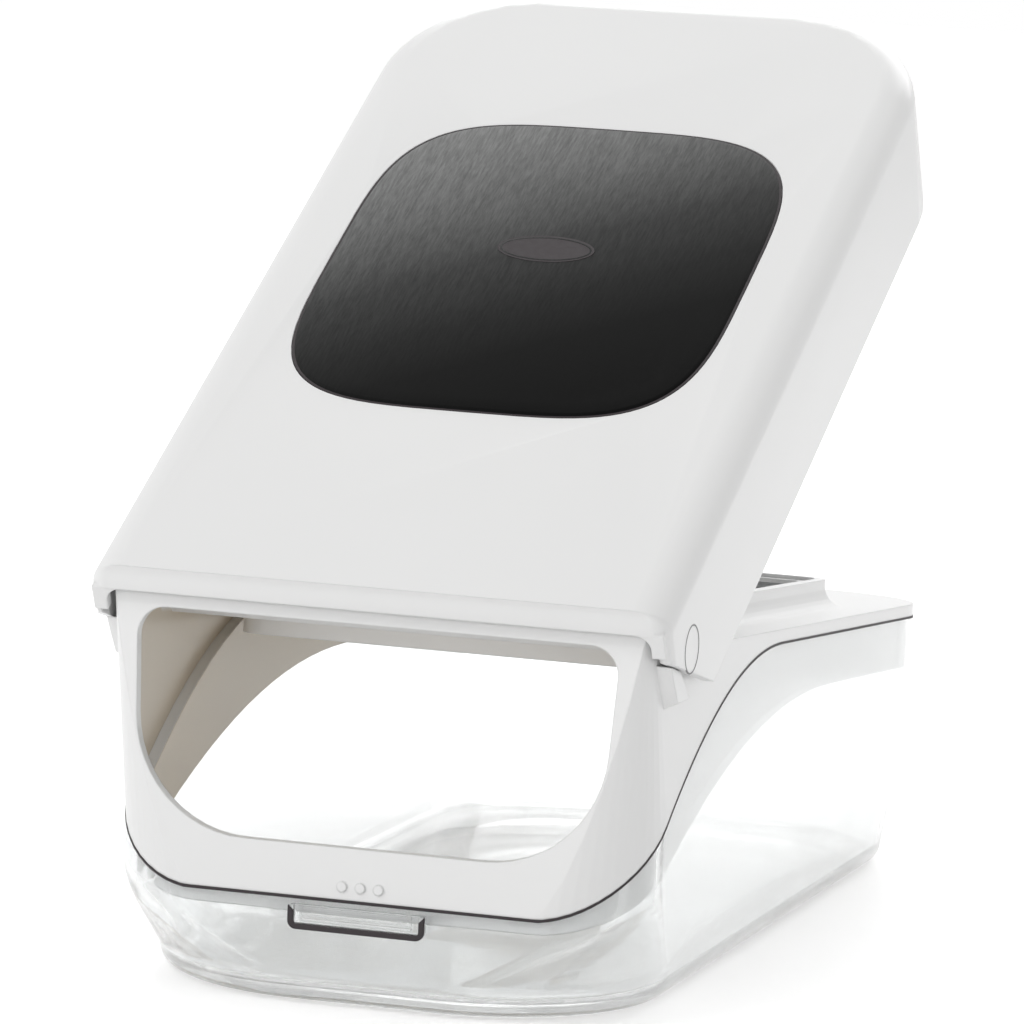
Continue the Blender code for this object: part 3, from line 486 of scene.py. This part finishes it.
@dataclass
class Container:
    """Clear container, a painted shade line round its tab and a dark ring of painted shade in the seam above
    it, which rides the body.
    """

    front_corner: float = 22 * MM
    rear_corner: float = 28 * MM
    base_front_corner: float = 40 * MM
    base_rear_corner: float = 36 * MM
    side_taper: float = 3 * MM
    end_taper: float = 0.5 * MM
    taper_ease: float = 1.5
    wall: float = 2.4 * MM
    floor: float = 3.4 * MM
    fillet: float = 5 * MM
    seam_front: float = 22.2 * MM
    skirt_front: float = 17 * MM
    skirt_drop: float = 11.6 * MM
    skirt_rise_end: float = 30 * MM
    skirt_gap: float = 0.4 * MM
    side_band: float = 3 * MM
    rise_end: float = -16 * MM
    ease: float = 0.92
    corner_steps: int = 28
    side_steps: int = 60
    fillet_steps: int = 10
    wall_steps: int = 9
    rim_gap: float = 0.15 * MM
    # size of the seam's ring of painted shade
    seam_shade_depth: float = 1.2 * MM
    seam_shade_height: float = 0.5 * MM
    seam_shade_proud: float = 0.12 * MM
    seam_shade_cuts: int = 110
    seam_shade_segments: int = 16
    tab_half: float = 14.5 * MM
    tab_top: float = 21 * MM
    tab_bottom: float = 16.2 * MM
    tab_reach: float = 2.2 * MM
    tab_corner: float = 1.6 * MM
    tab_line: float = 1.15 * MM
    tab_rim: float = 1.1 * MM
    tab_recess: float = 1 * MM
    tab_ribs: int = 3
    rib_start: float = 0.2
    rib_share: float = 0.6
    rib_bevel: float = 0.12
    tab_round: float = 0.2 * MM
    line_grow: float = 0.2 * MM
    line_depth: float = 0.9 * MM
    line_proud: float = 0.15 * MM
    line_bevel: float = 0.14 * MM
    smooth_angle: float = 60.0

    def plan(self, inset: float, lean: float) -> list:
        """Outline of one level, anticlockwise from above.

        Args:
            inset: distance inside the outer skin.
            lean: 0 at the skirt's level, 1 at the base.

        Returns:
            The outline's points.
        """
        half_x = HALF_WIDTH - inset - self.side_taper * lean
        half_y = HALF_LENGTH - inset - self.end_taper * lean
        front = self.front_corner + (self.base_front_corner - self.front_corner) * lean - inset
        rear = self.rear_corner + (self.base_rear_corner - self.rear_corner) * lean - inset
        steps = range(self.corner_steps + 1)
        right = [(half_x - front + front * math.cos(t), front - half_y + front * math.sin(t))
                 for t in (math.radians(-90 + 90 * k / self.corner_steps) for k in steps)]
        start = front - half_y
        end = half_y - rear
        right += [(half_x, start + (end - start) * k / self.side_steps) for k in range(1, self.side_steps)]
        right += [(half_x - rear + rear * math.cos(t), end + rear * math.sin(t))
                  for t in (math.radians(90 * k / self.corner_steps) for k in steps)]
        return right + [(-x, y) for x, y in reversed(right)]

    def skirt(self, y: float) -> float:
        """Height of the body's skirt at depth y, less its gap."""
        deck = DECK_REAR + DECK_SLOPE * (HALF_LENGTH - y)
        return rising(y, self.skirt_front, deck - self.side_band - self.skirt_drop, -HALF_LENGTH,
                      self.skirt_rise_end, self.ease) - self.skirt_gap

    def levels(self, inset: float, floor: float, fillet: float) -> list:
        """Rings of one skin from its floor to its rim."""
        rings = []
        for step in range(self.fillet_steps + 1):
            turn = math.pi / 2 * step / self.fillet_steps
            height = floor + fillet * (1 - math.cos(turn))
            rings.append([(x, y, height) for x, y in self.plan(inset + fillet * (1 - math.sin(turn)), 1.0)])
        foot = floor + fillet
        for step in range(1, self.wall_steps + 1):
            share = step / self.wall_steps
            rings.append([(x, y, foot + (self.skirt(y) - foot) * share)
                          for x, y in self.plan(inset, (1 - share) ** self.taper_ease)])
        rings.append([(x, y, self.seam(y) - self.rim_gap) for x, y in self.plan(inset, 0.0)])
        return rings

    def build_shell(self) -> bpy.types.Object:
        """Clear box extruded ring by ring up its outside, over the rim and down its inside."""
        rings = self.levels(0.0, 0.0, self.fillet)
        rings += reversed(self.levels(self.wall, self.floor, self.fillet - self.wall))
        count = len(rings[0])
        Bench.clear()
        bpy.ops.mesh.primitive_circle_add(vertices=count, radius=1, fill_type="NGON")
        shell = Bench.name("clear_container")
        Bench.pick(shell, lambda f: True)
        for ring in rings[1:]:
            bpy.ops.mesh.extrude_region_move(TRANSFORM_OT_translate={"value": (0, 0, 1)})
        Bench.done()
        for vert in shell.data.vertices:
            k = round(math.atan2(vert.co.y, vert.co.x) / math.tau * count) % count
            vert.co = rings[round(vert.co.z)][k]
        Bench.settle(shell, self.smooth_angle)
        self.add_tab(shell)
        return shell

    def add_tab(self, shell: bpy.types.Object) -> None:
        """Join the ribbed finger tab with its rim to the front wall."""
        face = -HALF_LENGTH - self.tab_reach
        back = -HALF_LENGTH + self.wall / 2
        lip = self.block("tab_lip", (-self.tab_half, face, self.tab_bottom),
                         (self.tab_half, back, self.tab_top))
        Bench.pick(lip, lambda e: e.verts[0].co.z < self.tab_top - MM and e.verts[1].co.z < self.tab_top - MM
                   and abs(e.verts[0].co.y - e.verts[1].co.y) > MM, "EDGE")
        bpy.ops.mesh.bevel(offset=self.tab_corner, segments=6, affect="EDGES")
        Bench.done()
        half = self.tab_half - self.tab_rim
        low = self.tab_bottom + self.tab_rim
        grip = self.block("tab_grip", (-half, face - MM, low),
                          (half, face + self.tab_recess, self.tab_top + MM))
        Bench.join(lip, grip, "DIFFERENCE")
        Bench.apply(lip, "BEVEL", width=self.tab_round, segments=3, limit_method="ANGLE",
                    angle_limit=math.radians(50))
        pitch = (self.tab_top - low) / self.tab_ribs
        for k in range(self.tab_ribs):
            foot = low + (k + self.rib_start) * pitch
            rib = self.block("tab_rib", (self.tab_corner - half, face + self.tab_recess / 2, foot),
                             (half - self.tab_corner, back, foot + self.rib_share * pitch))
            Bench.apply(rib, "BEVEL", width=self.rib_bevel * pitch, segments=3)
            Bench.join(lip, rib, "UNION")
        Bench.join(shell, lip, "UNION")
        Bench.settle(shell, self.smooth_angle)

    @staticmethod
    def block(name: str, low: tuple, high: tuple) -> bpy.types.Object:
        """Box between two corners."""
        Bench.clear()
        size = [high[k] - low[k] for k in range(3)]
        middle = [(high[k] + low[k]) / 2 for k in range(3)]
        bpy.ops.mesh.primitive_cube_add(size=1, location=middle, scale=size)
        block = Bench.name(name)
        Bench.take(block)
        bpy.ops.object.transform_apply(location=True, rotation=True, scale=True)
        return block

    def seam(self, y: float) -> float:
        """Height of the seam at depth y."""
        deck = DECK_REAR + DECK_SLOPE * (HALF_LENGTH - y)
        return rising(y, self.seam_front, deck - self.side_band, -HALF_LENGTH, self.rise_end, self.ease)

    def build_seam_shade(self) -> bpy.types.Object:
        """Thin dark ring of painted shade that shows as the line between container and body."""
        Bench.clear()
        bpy.ops.mesh.primitive_plane_add(size=2)
        painted_shade_line = Bench.name("seam_shade_line")
        half = (HALF_WIDTH + self.seam_shade_proud, HALF_LENGTH + self.seam_shade_proud)
        for vert in painted_shade_line.data.vertices:
            vert.co = (vert.co.x * half[0], vert.co.y * half[1], 0)
        for sign, radius in ((-1, self.front_corner), (1, self.rear_corner)):
            Bench.pick(painted_shade_line, lambda v, s=sign: v.co.y * s > half[1] * 0.99
                       and abs(v.co.x) > half[0] * 0.99, "VERT")
            bpy.ops.mesh.bevel(offset=radius + self.seam_shade_proud, segments=self.seam_shade_segments,
                               affect="VERTICES")
            Bench.done()
        Bench.pick(painted_shade_line, lambda e: abs(e.verts[0].co.y - e.verts[1].co.y) > HALF_LENGTH, "EDGE")
        bpy.ops.mesh.subdivide(number_cuts=self.seam_shade_cuts)
        Bench.done()
        Bench.pick(painted_shade_line, lambda f: True)
        bpy.ops.mesh.inset(thickness=self.seam_shade_depth)
        bpy.ops.mesh.delete(type="FACE")
        bpy.ops.mesh.select_all(action="SELECT")
        bpy.ops.mesh.extrude_region_move(TRANSFORM_OT_translate={"value": (0, 0, self.seam_shade_height)})
        Bench.done()
        for vert in painted_shade_line.data.vertices:
            vert.co.z += self.seam(vert.co.y) - self.seam_shade_height / 2
        Bench.settle(painted_shade_line)
        return painted_shade_line

    def build_tab_line(self) -> bpy.types.Object:
        """Dark U-shaped line of painted shade round the finger tab."""
        Bench.clear()
        bpy.ops.mesh.primitive_plane_add(size=2, rotation=(math.pi / 2, 0, 0))
        line = Bench.take(Bench.name("tab_shade_line"))
        bpy.ops.object.transform_apply(location=False, rotation=True, scale=False)
        grow = self.line_grow
        for vert in line.data.vertices:
            high = vert.co.z > 0
            vert.co.x *= self.tab_half + grow
            vert.co.z = self.tab_top if high else self.tab_bottom - grow
        Bench.pick(line, lambda v: v.co.z < self.tab_top - MM, "VERT")
        bpy.ops.mesh.bevel(offset=self.tab_corner + grow, segments=8, affect="VERTICES")
        Bench.done()
        Bench.pick(line, lambda f: True)
        bpy.ops.mesh.inset(thickness=self.tab_line)
        bpy.ops.mesh.delete(type="FACE")
        Bench.done()
        Bench.pick(line, lambda f: f.calc_center_median().z > self.tab_top - self.tab_line * 0.6)
        bpy.ops.mesh.delete(type="FACE")
        bpy.ops.mesh.select_all(action="SELECT")
        bpy.ops.mesh.extrude_region_move(TRANSFORM_OT_translate={"value": (0, self.line_depth, 0)})
        Bench.done()
        for vert in line.data.vertices:
            vert.co.y -= HALF_LENGTH + self.tab_reach + self.line_proud
        Bench.apply(line, "BEVEL", width=self.line_bevel, segments=3, limit_method="ANGLE",
                    angle_limit=math.radians(40))
        Bench.settle(line)
        return line

    def build(self, nodes: dict, finishes: Finishes) -> None:
        """Dress the container and add the painted shade lines of its seam and tab."""
        shell = self.build_shell()
        dress(shell, finishes.clear)
        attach(shell, "container")
        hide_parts("container")
        # The seam ring and the tab's U-line are painted shade: dark pieces where the seam and the tab's gap
        # fall into shade.
        for piece, body in ((self.build_seam_shade(), "chopper"), (self.build_tab_line(), "container")):
            dress(piece, finishes.painted_shade_line)
            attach(piece, body)
        LOG.info("container dressed: seam seal and tab edging added")


@dataclass
class ChopperBody:
    """White body and blade frame."""

    def build(self, nodes: dict, finishes: Finishes) -> None:
        """Dress the body and the blade frame."""
        for name in ("body_shell", "blade_frame"):
            dress(nodes[name], finishes.white)
        LOG.info("body dressed")


@dataclass
class BladeGrid:
    """Two layers of ground blades."""

    def build(self, nodes: dict, finishes: Finishes) -> None:
        """Dress every blade."""
        blades = [name for name in nodes if name.startswith(("blade_long", "blade_cross"))]
        for name in blades:
            dress(nodes[name], finishes.steel)
        LOG.info("%d blades dressed", len(blades))


@dataclass
class Lid:
    """Pressing lid with its soft pad and the pusher beneath."""

    half_width: float = 62.4 * MM
    top: float = 18 * MM
    pad_half: tuple = (46.9 * MM, 56.3 * MM)
    pad_centre: float = 107.9 * MM
    power: float = 3.97
    recess: float = 1.0 * MM
    crown: float = 0.7 * MM
    proud: float = 0.4 * MM
    pad_gap: float = 0.15 * MM
    pad_lift: float = 0.02 * MM
    # size of the pad's ring of painted shade
    shade_ring_reach: float = 0.12 * MM
    shade_ring_height: float = 1.03 * MM
    edge_round: float = 1.1 * MM
    edge_steps: int = 6
    outline_points: int = 160
    crown_rings: int = 12
    badge_points: int = 72
    badge_half: tuple = (10.4 * MM, 4.6 * MM)
    badge_centre: float = 113.3 * MM
    badge_depth: float = 1.4 * MM
    badge_rim: float = 0.55 * MM
    badge_sink: float = 0.35 * MM
    badge_step: float = 0.3 * MM
    badge_bevel: float = 0.15 * MM
    badge_below: float = 0.55 * MM
    groove_width: float = 0.5 * MM
    groove_depth: float = 1 * MM
    groove_below: float = 0.40 * MM
    front: float = -14.1 * MM
    bead_depth: float = 5.5 * MM
    cheek_drop: float = 10.9 * MM
    band_width: float = 3.9 * MM
    band_depth: float = 2.4 * MM
    band_fillet: float = 3.4 * MM
    band_bevel: float = 0.35 * MM
    band_setback: float = 0.15 * MM
    band_lap: float = 0.4 * MM
    band_steps: int = 8
    smooth_angle: float = 32.0
    corner_step: float = 0.9 * MM
    pin_radius: float = 5.0 * MM
    pin_line: float = 0.2 * MM
    pin_inset: float = 0.1 * MM

    def open_matrix(self) -> Matrix:
        """Matrix that carries closed-lid coordinates to the open lid."""
        return Matrix.Translation(HINGE) @ Matrix.Rotation(LID_ANGLE, 4, "X")

    def outline_reach(self, turn: float) -> float:
        """Distance of the pad's outline from its middle in one direction."""
        across = abs(math.cos(turn) / self.pad_half[0]) ** self.power
        along = abs(math.sin(turn) / self.pad_half[1]) ** self.power
        return (across + along) ** (-1 / self.power)

    def crown_height(self, x: float, y: float) -> float:
        """Height of the pad's gentle crown at a point measured from its middle."""
        reach = (x / self.pad_half[0]) ** 2 + (y / self.pad_half[1]) ** 2
        return self.crown * max(0.0, 1 - reach)

    def build_pad(self) -> bpy.types.Object:
        """Soft pad with a rounded edge and a gentle crown."""
        Bench.clear()
        bpy.ops.mesh.primitive_circle_add(vertices=self.outline_points, radius=1, fill_type="NGON")
        pad = Bench.name("soft_pad")
        for vert in pad.data.vertices:
            turn = math.atan2(vert.co.y, vert.co.x)
            reach = self.outline_reach(turn) - self.pad_gap
            vert.co = (reach * math.cos(turn), reach * math.sin(turn), 0)
        Bench.pick(pad, lambda f: True)
        wall = self.recess + self.proud - self.edge_round
        bpy.ops.mesh.extrude_region_move(TRANSFORM_OT_translate={"value": (0, 0, wall)})
        drawn = 0.0
        for step in range(1, self.edge_steps + 1):
            turn = math.pi / 2 * step / self.edge_steps
            before = math.pi / 2 * (step - 1) / self.edge_steps
            rise = self.edge_round * (math.sin(turn) - math.sin(before))
            pull = self.edge_round * (math.cos(before) - math.cos(turn))
            self.step_in(rise, pull, drawn)
            drawn += pull
        inner = self.pad_half[0] - drawn
        for step in range(self.crown_rings):
            pull = inner / (self.crown_rings + 1)
            self.step_in(0.0, pull, drawn)
            drawn += pull
        Bench.done()
        for vert in pad.data.vertices:
            if vert.co.z > wall:
                share = min(1.0, (vert.co.z - wall) / self.edge_round)
                vert.co.z += share * self.crown_height(vert.co.x, vert.co.y)
            vert.co.y += self.pad_centre
            vert.co.z += self.top - self.recess + self.pad_lift
        pad.data.transform(self.open_matrix())
        Bench.settle(pad, 50.0)
        return pad

    def step_in(self, rise: float, pull: float, drawn: float) -> None:
        """Extrude the selected face upwards and draw it in.

        Args:
            rise: how far it goes up.
            pull: how far its outline comes in.
            drawn: how far the outline has come in before.
        """
        bpy.ops.mesh.extrude_region_move(TRANSFORM_OT_translate={"value": (0, 0, rise)})
        across, along = (half - self.pad_gap - drawn for half in self.pad_half)
        bpy.ops.transform.resize(value=((across - pull) / across, (along - pull) / along, 1),
                                 center_override=(0, 0, 0))

    def badge_level(self) -> float:
        """Height of the pad's crown under the middle of the badge."""
        return self.top + self.proud + self.crown_height(0, self.badge_centre - self.pad_centre)

    def build_badge(self) -> bpy.types.Object:
        """Bare oval plate with a rounded rim, let into the pad."""
        Bench.clear()
        bpy.ops.mesh.primitive_cylinder_add(vertices=self.badge_points, radius=1, depth=self.badge_depth,
                                            end_fill_type="NGON")
        badge = Bench.name("badge_blank")
        for vert in badge.data.vertices:
            vert.co.x *= self.badge_half[0]
            vert.co.y *= self.badge_half[1]
        Bench.pick(badge, lambda f: f.normal.z > 0.5)
        bpy.ops.mesh.inset(thickness=self.badge_rim)
        bpy.ops.mesh.extrude_region_move(TRANSFORM_OT_translate={"value": (0, 0, -self.badge_sink)})
        bpy.ops.mesh.inset(thickness=self.badge_step)
        Bench.done()
        Bench.apply(badge, "BEVEL", width=self.badge_bevel, segments=3, limit_method="ANGLE",
                    angle_limit=math.radians(40))
        level = self.badge_level() - self.badge_below
        for vert in badge.data.vertices:
            vert.co.y += self.badge_centre
            vert.co.z += level
        badge.data.transform(self.open_matrix())
        Bench.settle(badge)
        return badge

    def build_badge_groove(self) -> bpy.types.Object:
        """Dark oval ring of painted shade that stands for the groove round the bare plate."""
        Bench.clear()
        bpy.ops.mesh.primitive_cylinder_add(vertices=self.badge_points, radius=1, depth=self.groove_depth,
                                            end_fill_type="NGON")
        groove = Bench.name("badge_groove")
        level = self.badge_level() - self.groove_below
        for vert in groove.data.vertices:
            vert.co.x *= self.badge_half[0] + self.groove_width
            vert.co.y *= self.badge_half[1] + self.groove_width
            vert.co.y += self.badge_centre
            vert.co.z += level
        groove.data.transform(self.open_matrix())
        Bench.settle(groove)
        return groove

    def build_pad_shade_ring(self) -> bpy.types.Object:
        """Painted shade: a dark ring that shows as a fine shadow line in the gap round the pad."""
        Bench.clear()
        bpy.ops.mesh.primitive_circle_add(vertices=self.outline_points, radius=1, fill_type="NGON")
        foot = Bench.name("pad_shade_ring")
        for vert in foot.data.vertices:
            turn = math.atan2(vert.co.y, vert.co.x)
            reach = self.outline_reach(turn) + self.shade_ring_reach
            vert.co = (reach * math.cos(turn), reach * math.sin(turn) + self.pad_centre,
                       self.top - self.recess)
        Bench.pick(foot, lambda f: True)
        bpy.ops.mesh.extrude_region_move(TRANSFORM_OT_translate={"value": (0, 0, self.shade_ring_height)})
        Bench.done()
        foot.data.transform(self.open_matrix())
        Bench.settle(foot)
        return foot

    def build_front_band(self, shell: bpy.types.Object) -> bpy.types.Object:
        """Copy of the lid whose thick front edge turns the corner and runs down both cheeks."""
        Bench.take(shell)
        bpy.ops.object.duplicate()
        lid = Bench.name("lid_with_band")
        matrix = self.open_matrix()
        low = self.top - self.cheek_drop
        edge = self.top - self.bead_depth
        for side in (-1, 1):
            outline = self.band_outline(self.half_width - self.band_width, low, edge)
            Bench.clear()
            bpy.ops.mesh.primitive_circle_add(vertices=len(outline), radius=1, fill_type="NGON")
            band = Bench.name("band")
            for vert in band.data.vertices:
                k = round(math.atan2(vert.co.y, vert.co.x) / math.tau * len(outline)) % len(outline)
                x, z = outline[k]
                vert.co = (side * x, self.front + self.band_setback, z)
            Bench.pick(band, lambda f: True)
            bpy.ops.mesh.extrude_region_move(TRANSFORM_OT_translate={"value": (0, self.band_depth, 0)})
            Bench.done()
            band.data.transform(matrix)
            Bench.settle(band)
            Bench.apply(band, "BEVEL", width=self.band_bevel, segments=3, angle_limit=math.radians(50))
            Bench.join(lid, band, "UNION")
        Bench.settle(lid, self.smooth_angle)
        return lid

    def band_outline(self, inner: float, low: float, edge: float) -> list:
        """Front outline of one corner band.

        Args:
            inner: half width at the band's inner side.
            low: height of its lower end.
            edge: height of the front edge's underside.

        Returns:
            Points (x, z) round the band.
        """
        radius = self.band_fillet
        outer = self.half_width - self.corner_step
        corner = [(inner - radius + radius * math.cos(t), edge - radius + radius * math.sin(t))
                  for t in (math.radians(90 * k / self.band_steps) for k in range(self.band_steps + 1))]
        high = edge + self.band_lap
        return [(outer, low), (outer, high), (inner - radius, high), *reversed(corner), (inner, low)]

    def build_pin_lines(self) -> list:
        """Fine line of painted shade in the gap round each hinge pin."""
        lines = []
        for side, name in ((-1, "pin_gap_left"), (1, "pin_gap_right")):
            Bench.clear()
            bpy.ops.mesh.primitive_torus_add(major_radius=self.pin_radius, minor_radius=self.pin_line,
                                             major_segments=96, minor_segments=10,
                                             location=(side * (self.half_width - self.pin_inset), *HINGE[1:]),
                                             rotation=(0, math.pi / 2, 0))
            line = Bench.name(name)
            Bench.settle(line)
            lines.append(line)
        return lines

    def build(self, nodes: dict, finishes: Finishes) -> None:
        """Dress the lid and pusher, replace the plain pad and lid, add the badge and the painted shade lines
        of its groove, of the pad's gap and of the pin gaps.
        """
        for name in ("lid_shell", "pusher_grid"):
            dress(nodes[name], finishes.white)
        for name in nodes:
            if name.startswith("pusher_screw"):
                dress(nodes[name], finishes.steel)
        pad = self.build_pad()
        dress(pad, finishes.soft)
        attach(pad, "lid")
        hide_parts("lid_pad")
        # groove, pad ring and pin lines wear painted shade
        looks = {"badge_blank": finishes.soft, "badge_groove": finishes.painted_shade_line, "pad_shade_ring": finishes.painted_shade_line}
        details = [self.build_badge(), self.build_badge_groove(), self.build_pad_shade_ring()]
        for piece in details + self.build_pin_lines():
            dress(piece, looks.get(piece.name, finishes.pin_line))
            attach(piece, "lid")
        lid = self.build_front_band(nodes["lid_shell"])
        Bench.apply(lid, "WEIGHTED_NORMAL", keep_sharp=True, weight=100)
        dress(lid, finishes.white)
        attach(lid, "lid")
        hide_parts("lid_shell")
        LOG.info("lid dressed: front band, pad, bare badge and pin gaps added")


@dataclass
class Studio:
    """Camera, lights, white room and floor."""

    focal: float = 7194.8
    azimuth: float = 17.104
    elevation: float = 7.815
    roll: float = 2.519
    target: tuple = (-11.369 * MM, 0.0, 85.129 * MM)
    distance: float = 1584.2 * MM
    centre: tuple = (501.8, 523.5)
    frame: float = 1024.0
    sensor: float = 36.0
    room: float = 0.655
    softboxes: tuple = (
        ("key_softbox", (-0.9, -1.1, 1.5), (0, 0, 0.1), (1.2, 1.2), 9.0),
        ("fill_softbox", (-0.4, -1.6, 0.25), (0, -0.1, 0.05), (1.0, 0.7), 3.0),
        ("back_softbox", (0.0, 1.3, 0.9), (0, 0, 0.08), (1.4, 1.0), 10.0))
    floor_size: float = 6.0
    floor_drop: float = 0.3 * MM
    floor_white: float = 0.93
    floor_glow: float = 0.35

    def camera(self) -> None:
        """Place the camera at the photographed angle."""
        az, el, roll = map(math.radians, (self.azimuth, self.elevation, self.roll))
        ahead = Vector((-math.sin(az) * math.cos(el), math.cos(az) * math.cos(el), -math.sin(el)))
        right = Vector((math.cos(az), math.sin(az), 0.0))
        up = right.cross(ahead)
        right_rolled = right * math.cos(roll) + up * math.sin(roll)
        up_rolled = up * math.cos(roll) - right * math.sin(roll)
        data = bpy.data.cameras.new("camera")
        data.sensor_width = self.sensor
        data.lens = self.focal * self.sensor / self.frame
        data.shift_x = (self.frame / 2 - self.centre[0]) / self.frame
        data.shift_y = (self.centre[1] - self.frame / 2) / self.frame
        data.clip_start = 0.05
        camera = bpy.data.objects.new("camera", data)
        bpy.context.scene.collection.objects.link(camera)
        turn = Matrix((right_rolled, up_rolled, -ahead)).transposed().to_4x4()
        camera.matrix_world = Matrix.Translation(Vector(self.target) - ahead * self.distance) @ turn
        bpy.context.scene.camera = camera

    @staticmethod
    def lamp(name: str, place: tuple, aim: tuple, size: tuple, power: float) -> None:
        """Add one softbox.

        Args:
            name: the lamp's name.
            place: where it stands, in metres.
            aim: the point it faces.
            size: its width and height.
            power: its strength in watts.
        """
        data = bpy.data.lights.new(name, "AREA")
        data.shape = "RECTANGLE"
        data.size, data.size_y = size
        data.energy = power
        lamp = bpy.data.objects.new(name, data)
        bpy.context.scene.collection.objects.link(lamp)
        lamp.location = place
        lamp.rotation_euler = (Vector(aim) - Vector(place)).to_track_quat("-Z", "Y").to_euler()

    @staticmethod
    def seen_directly(tree: bpy.types.NodeTree, path: bpy.types.Node) -> bpy.types.Node:
        """1 for camera, mirror and see-through rays.

        Args:
            tree: the node tree.
            path: its Light Path node.

        Returns:
            The node that holds the answer.
        """
        answer = None
        for name in ("Is Camera Ray", "Is Glossy Ray", "Is Transmission Ray"):
            step = tree.nodes.new("ShaderNodeMath")
            step.operation = "MAXIMUM"
            step.inputs[0].default_value = 0.0
            tree.links.new(path.outputs[name], step.inputs[1])
            if answer is not None:
                tree.links.new(answer.outputs[0], step.inputs[0])
            answer = step
        return answer

    @staticmethod
    def world(strength: float) -> None:
        """White surroundings: plain for the object, pure white where seen directly."""
        world = bpy.data.worlds.new("room")
        bpy.context.scene.world = world
        world.use_nodes = True
        tree = world.node_tree
        tree.nodes.clear()
        path = tree.nodes.new("ShaderNodeLightPath")
        seen = Studio.seen_directly(tree, path)
        plain = tree.nodes.new("ShaderNodeBackground")
        plain.inputs["Color"].default_value = (1.0, 1.0, 1.0, 1.0)
        plain.inputs["Strength"].default_value = strength
        white = tree.nodes.new("ShaderNodeBackground")
        white.inputs["Color"].default_value = (1.0, 1.0, 1.0, 1.0)
        white.inputs["Strength"].default_value = 1.0
        mix = tree.nodes.new("ShaderNodeMixShader")
        out = tree.nodes.new("ShaderNodeOutputWorld")
        tree.links.new(seen.outputs[0], mix.inputs[0])
        tree.links.new(plain.outputs[0], mix.inputs[1])
        tree.links.new(white.outputs[0], mix.inputs[2])
        tree.links.new(mix.outputs[0], out.inputs[0])

    def floor(self) -> None:
        """Pale floor that shows white and keeps the object's shadow."""
        Bench.clear()
        bpy.ops.mesh.primitive_plane_add(size=self.floor_size, location=(0, 0, -self.floor_drop))
        floor = Bench.name("floor")
        material = bpy.data.materials.new("pale_floor")
        material.use_nodes = True
        tree = material.node_tree
        shader = tree.nodes["Principled BSDF"]
        shader.inputs["Base Color"].default_value = (*[self.floor_white] * 3, 1.0)
        shader.inputs["Roughness"].default_value = 0.6
        shader.inputs["Specular IOR Level"].default_value = 0.2
        path = tree.nodes.new("ShaderNodeLightPath")
        glow = Studio.seen_directly(tree, path)
        share = tree.nodes.new("ShaderNodeMath")
        share.operation = "MULTIPLY"
        share.inputs[1].default_value = self.floor_glow
        tree.links.new(glow.outputs[0], share.inputs[0])
        shader.inputs["Emission Color"].default_value = (1.0, 1.0, 1.0, 1.0)
        tree.links.new(share.outputs[0], shader.inputs["Emission Strength"])
        dress(floor, material)

    def build(self) -> None:
        """Set up the whole studio."""
        self.camera()
        for softbox in self.softboxes:
            self.lamp(*softbox)
        self.world(self.room)
        self.floor()
        bpy.context.scene.view_settings.view_transform = "Standard"
        LOG.info("studio ready")


def main() -> None:
    """Load the frame, dress each sub-assembly and set up the studio."""
    logging.basicConfig(level=logging.INFO)
    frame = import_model()
    nodes = frame["nodes"]
    # The last two finishes are painted shade for the seam and gap lines.
    finishes = Finishes(WhitePlastic().material(), ClearPlastic().material(), SoftTouch().material(),
                        GroundSteel().material(), PaintedGapShade().material(),
                        PaintedGapShade("pin_shadow", (0.20, 0.20, 0.20)).material())
    for assembly in (Container(), ChopperBody(), BladeGrid(), Lid()):
        assembly.build(nodes, finishes)
    Studio().build()


if __name__ == "__main__":
    main()
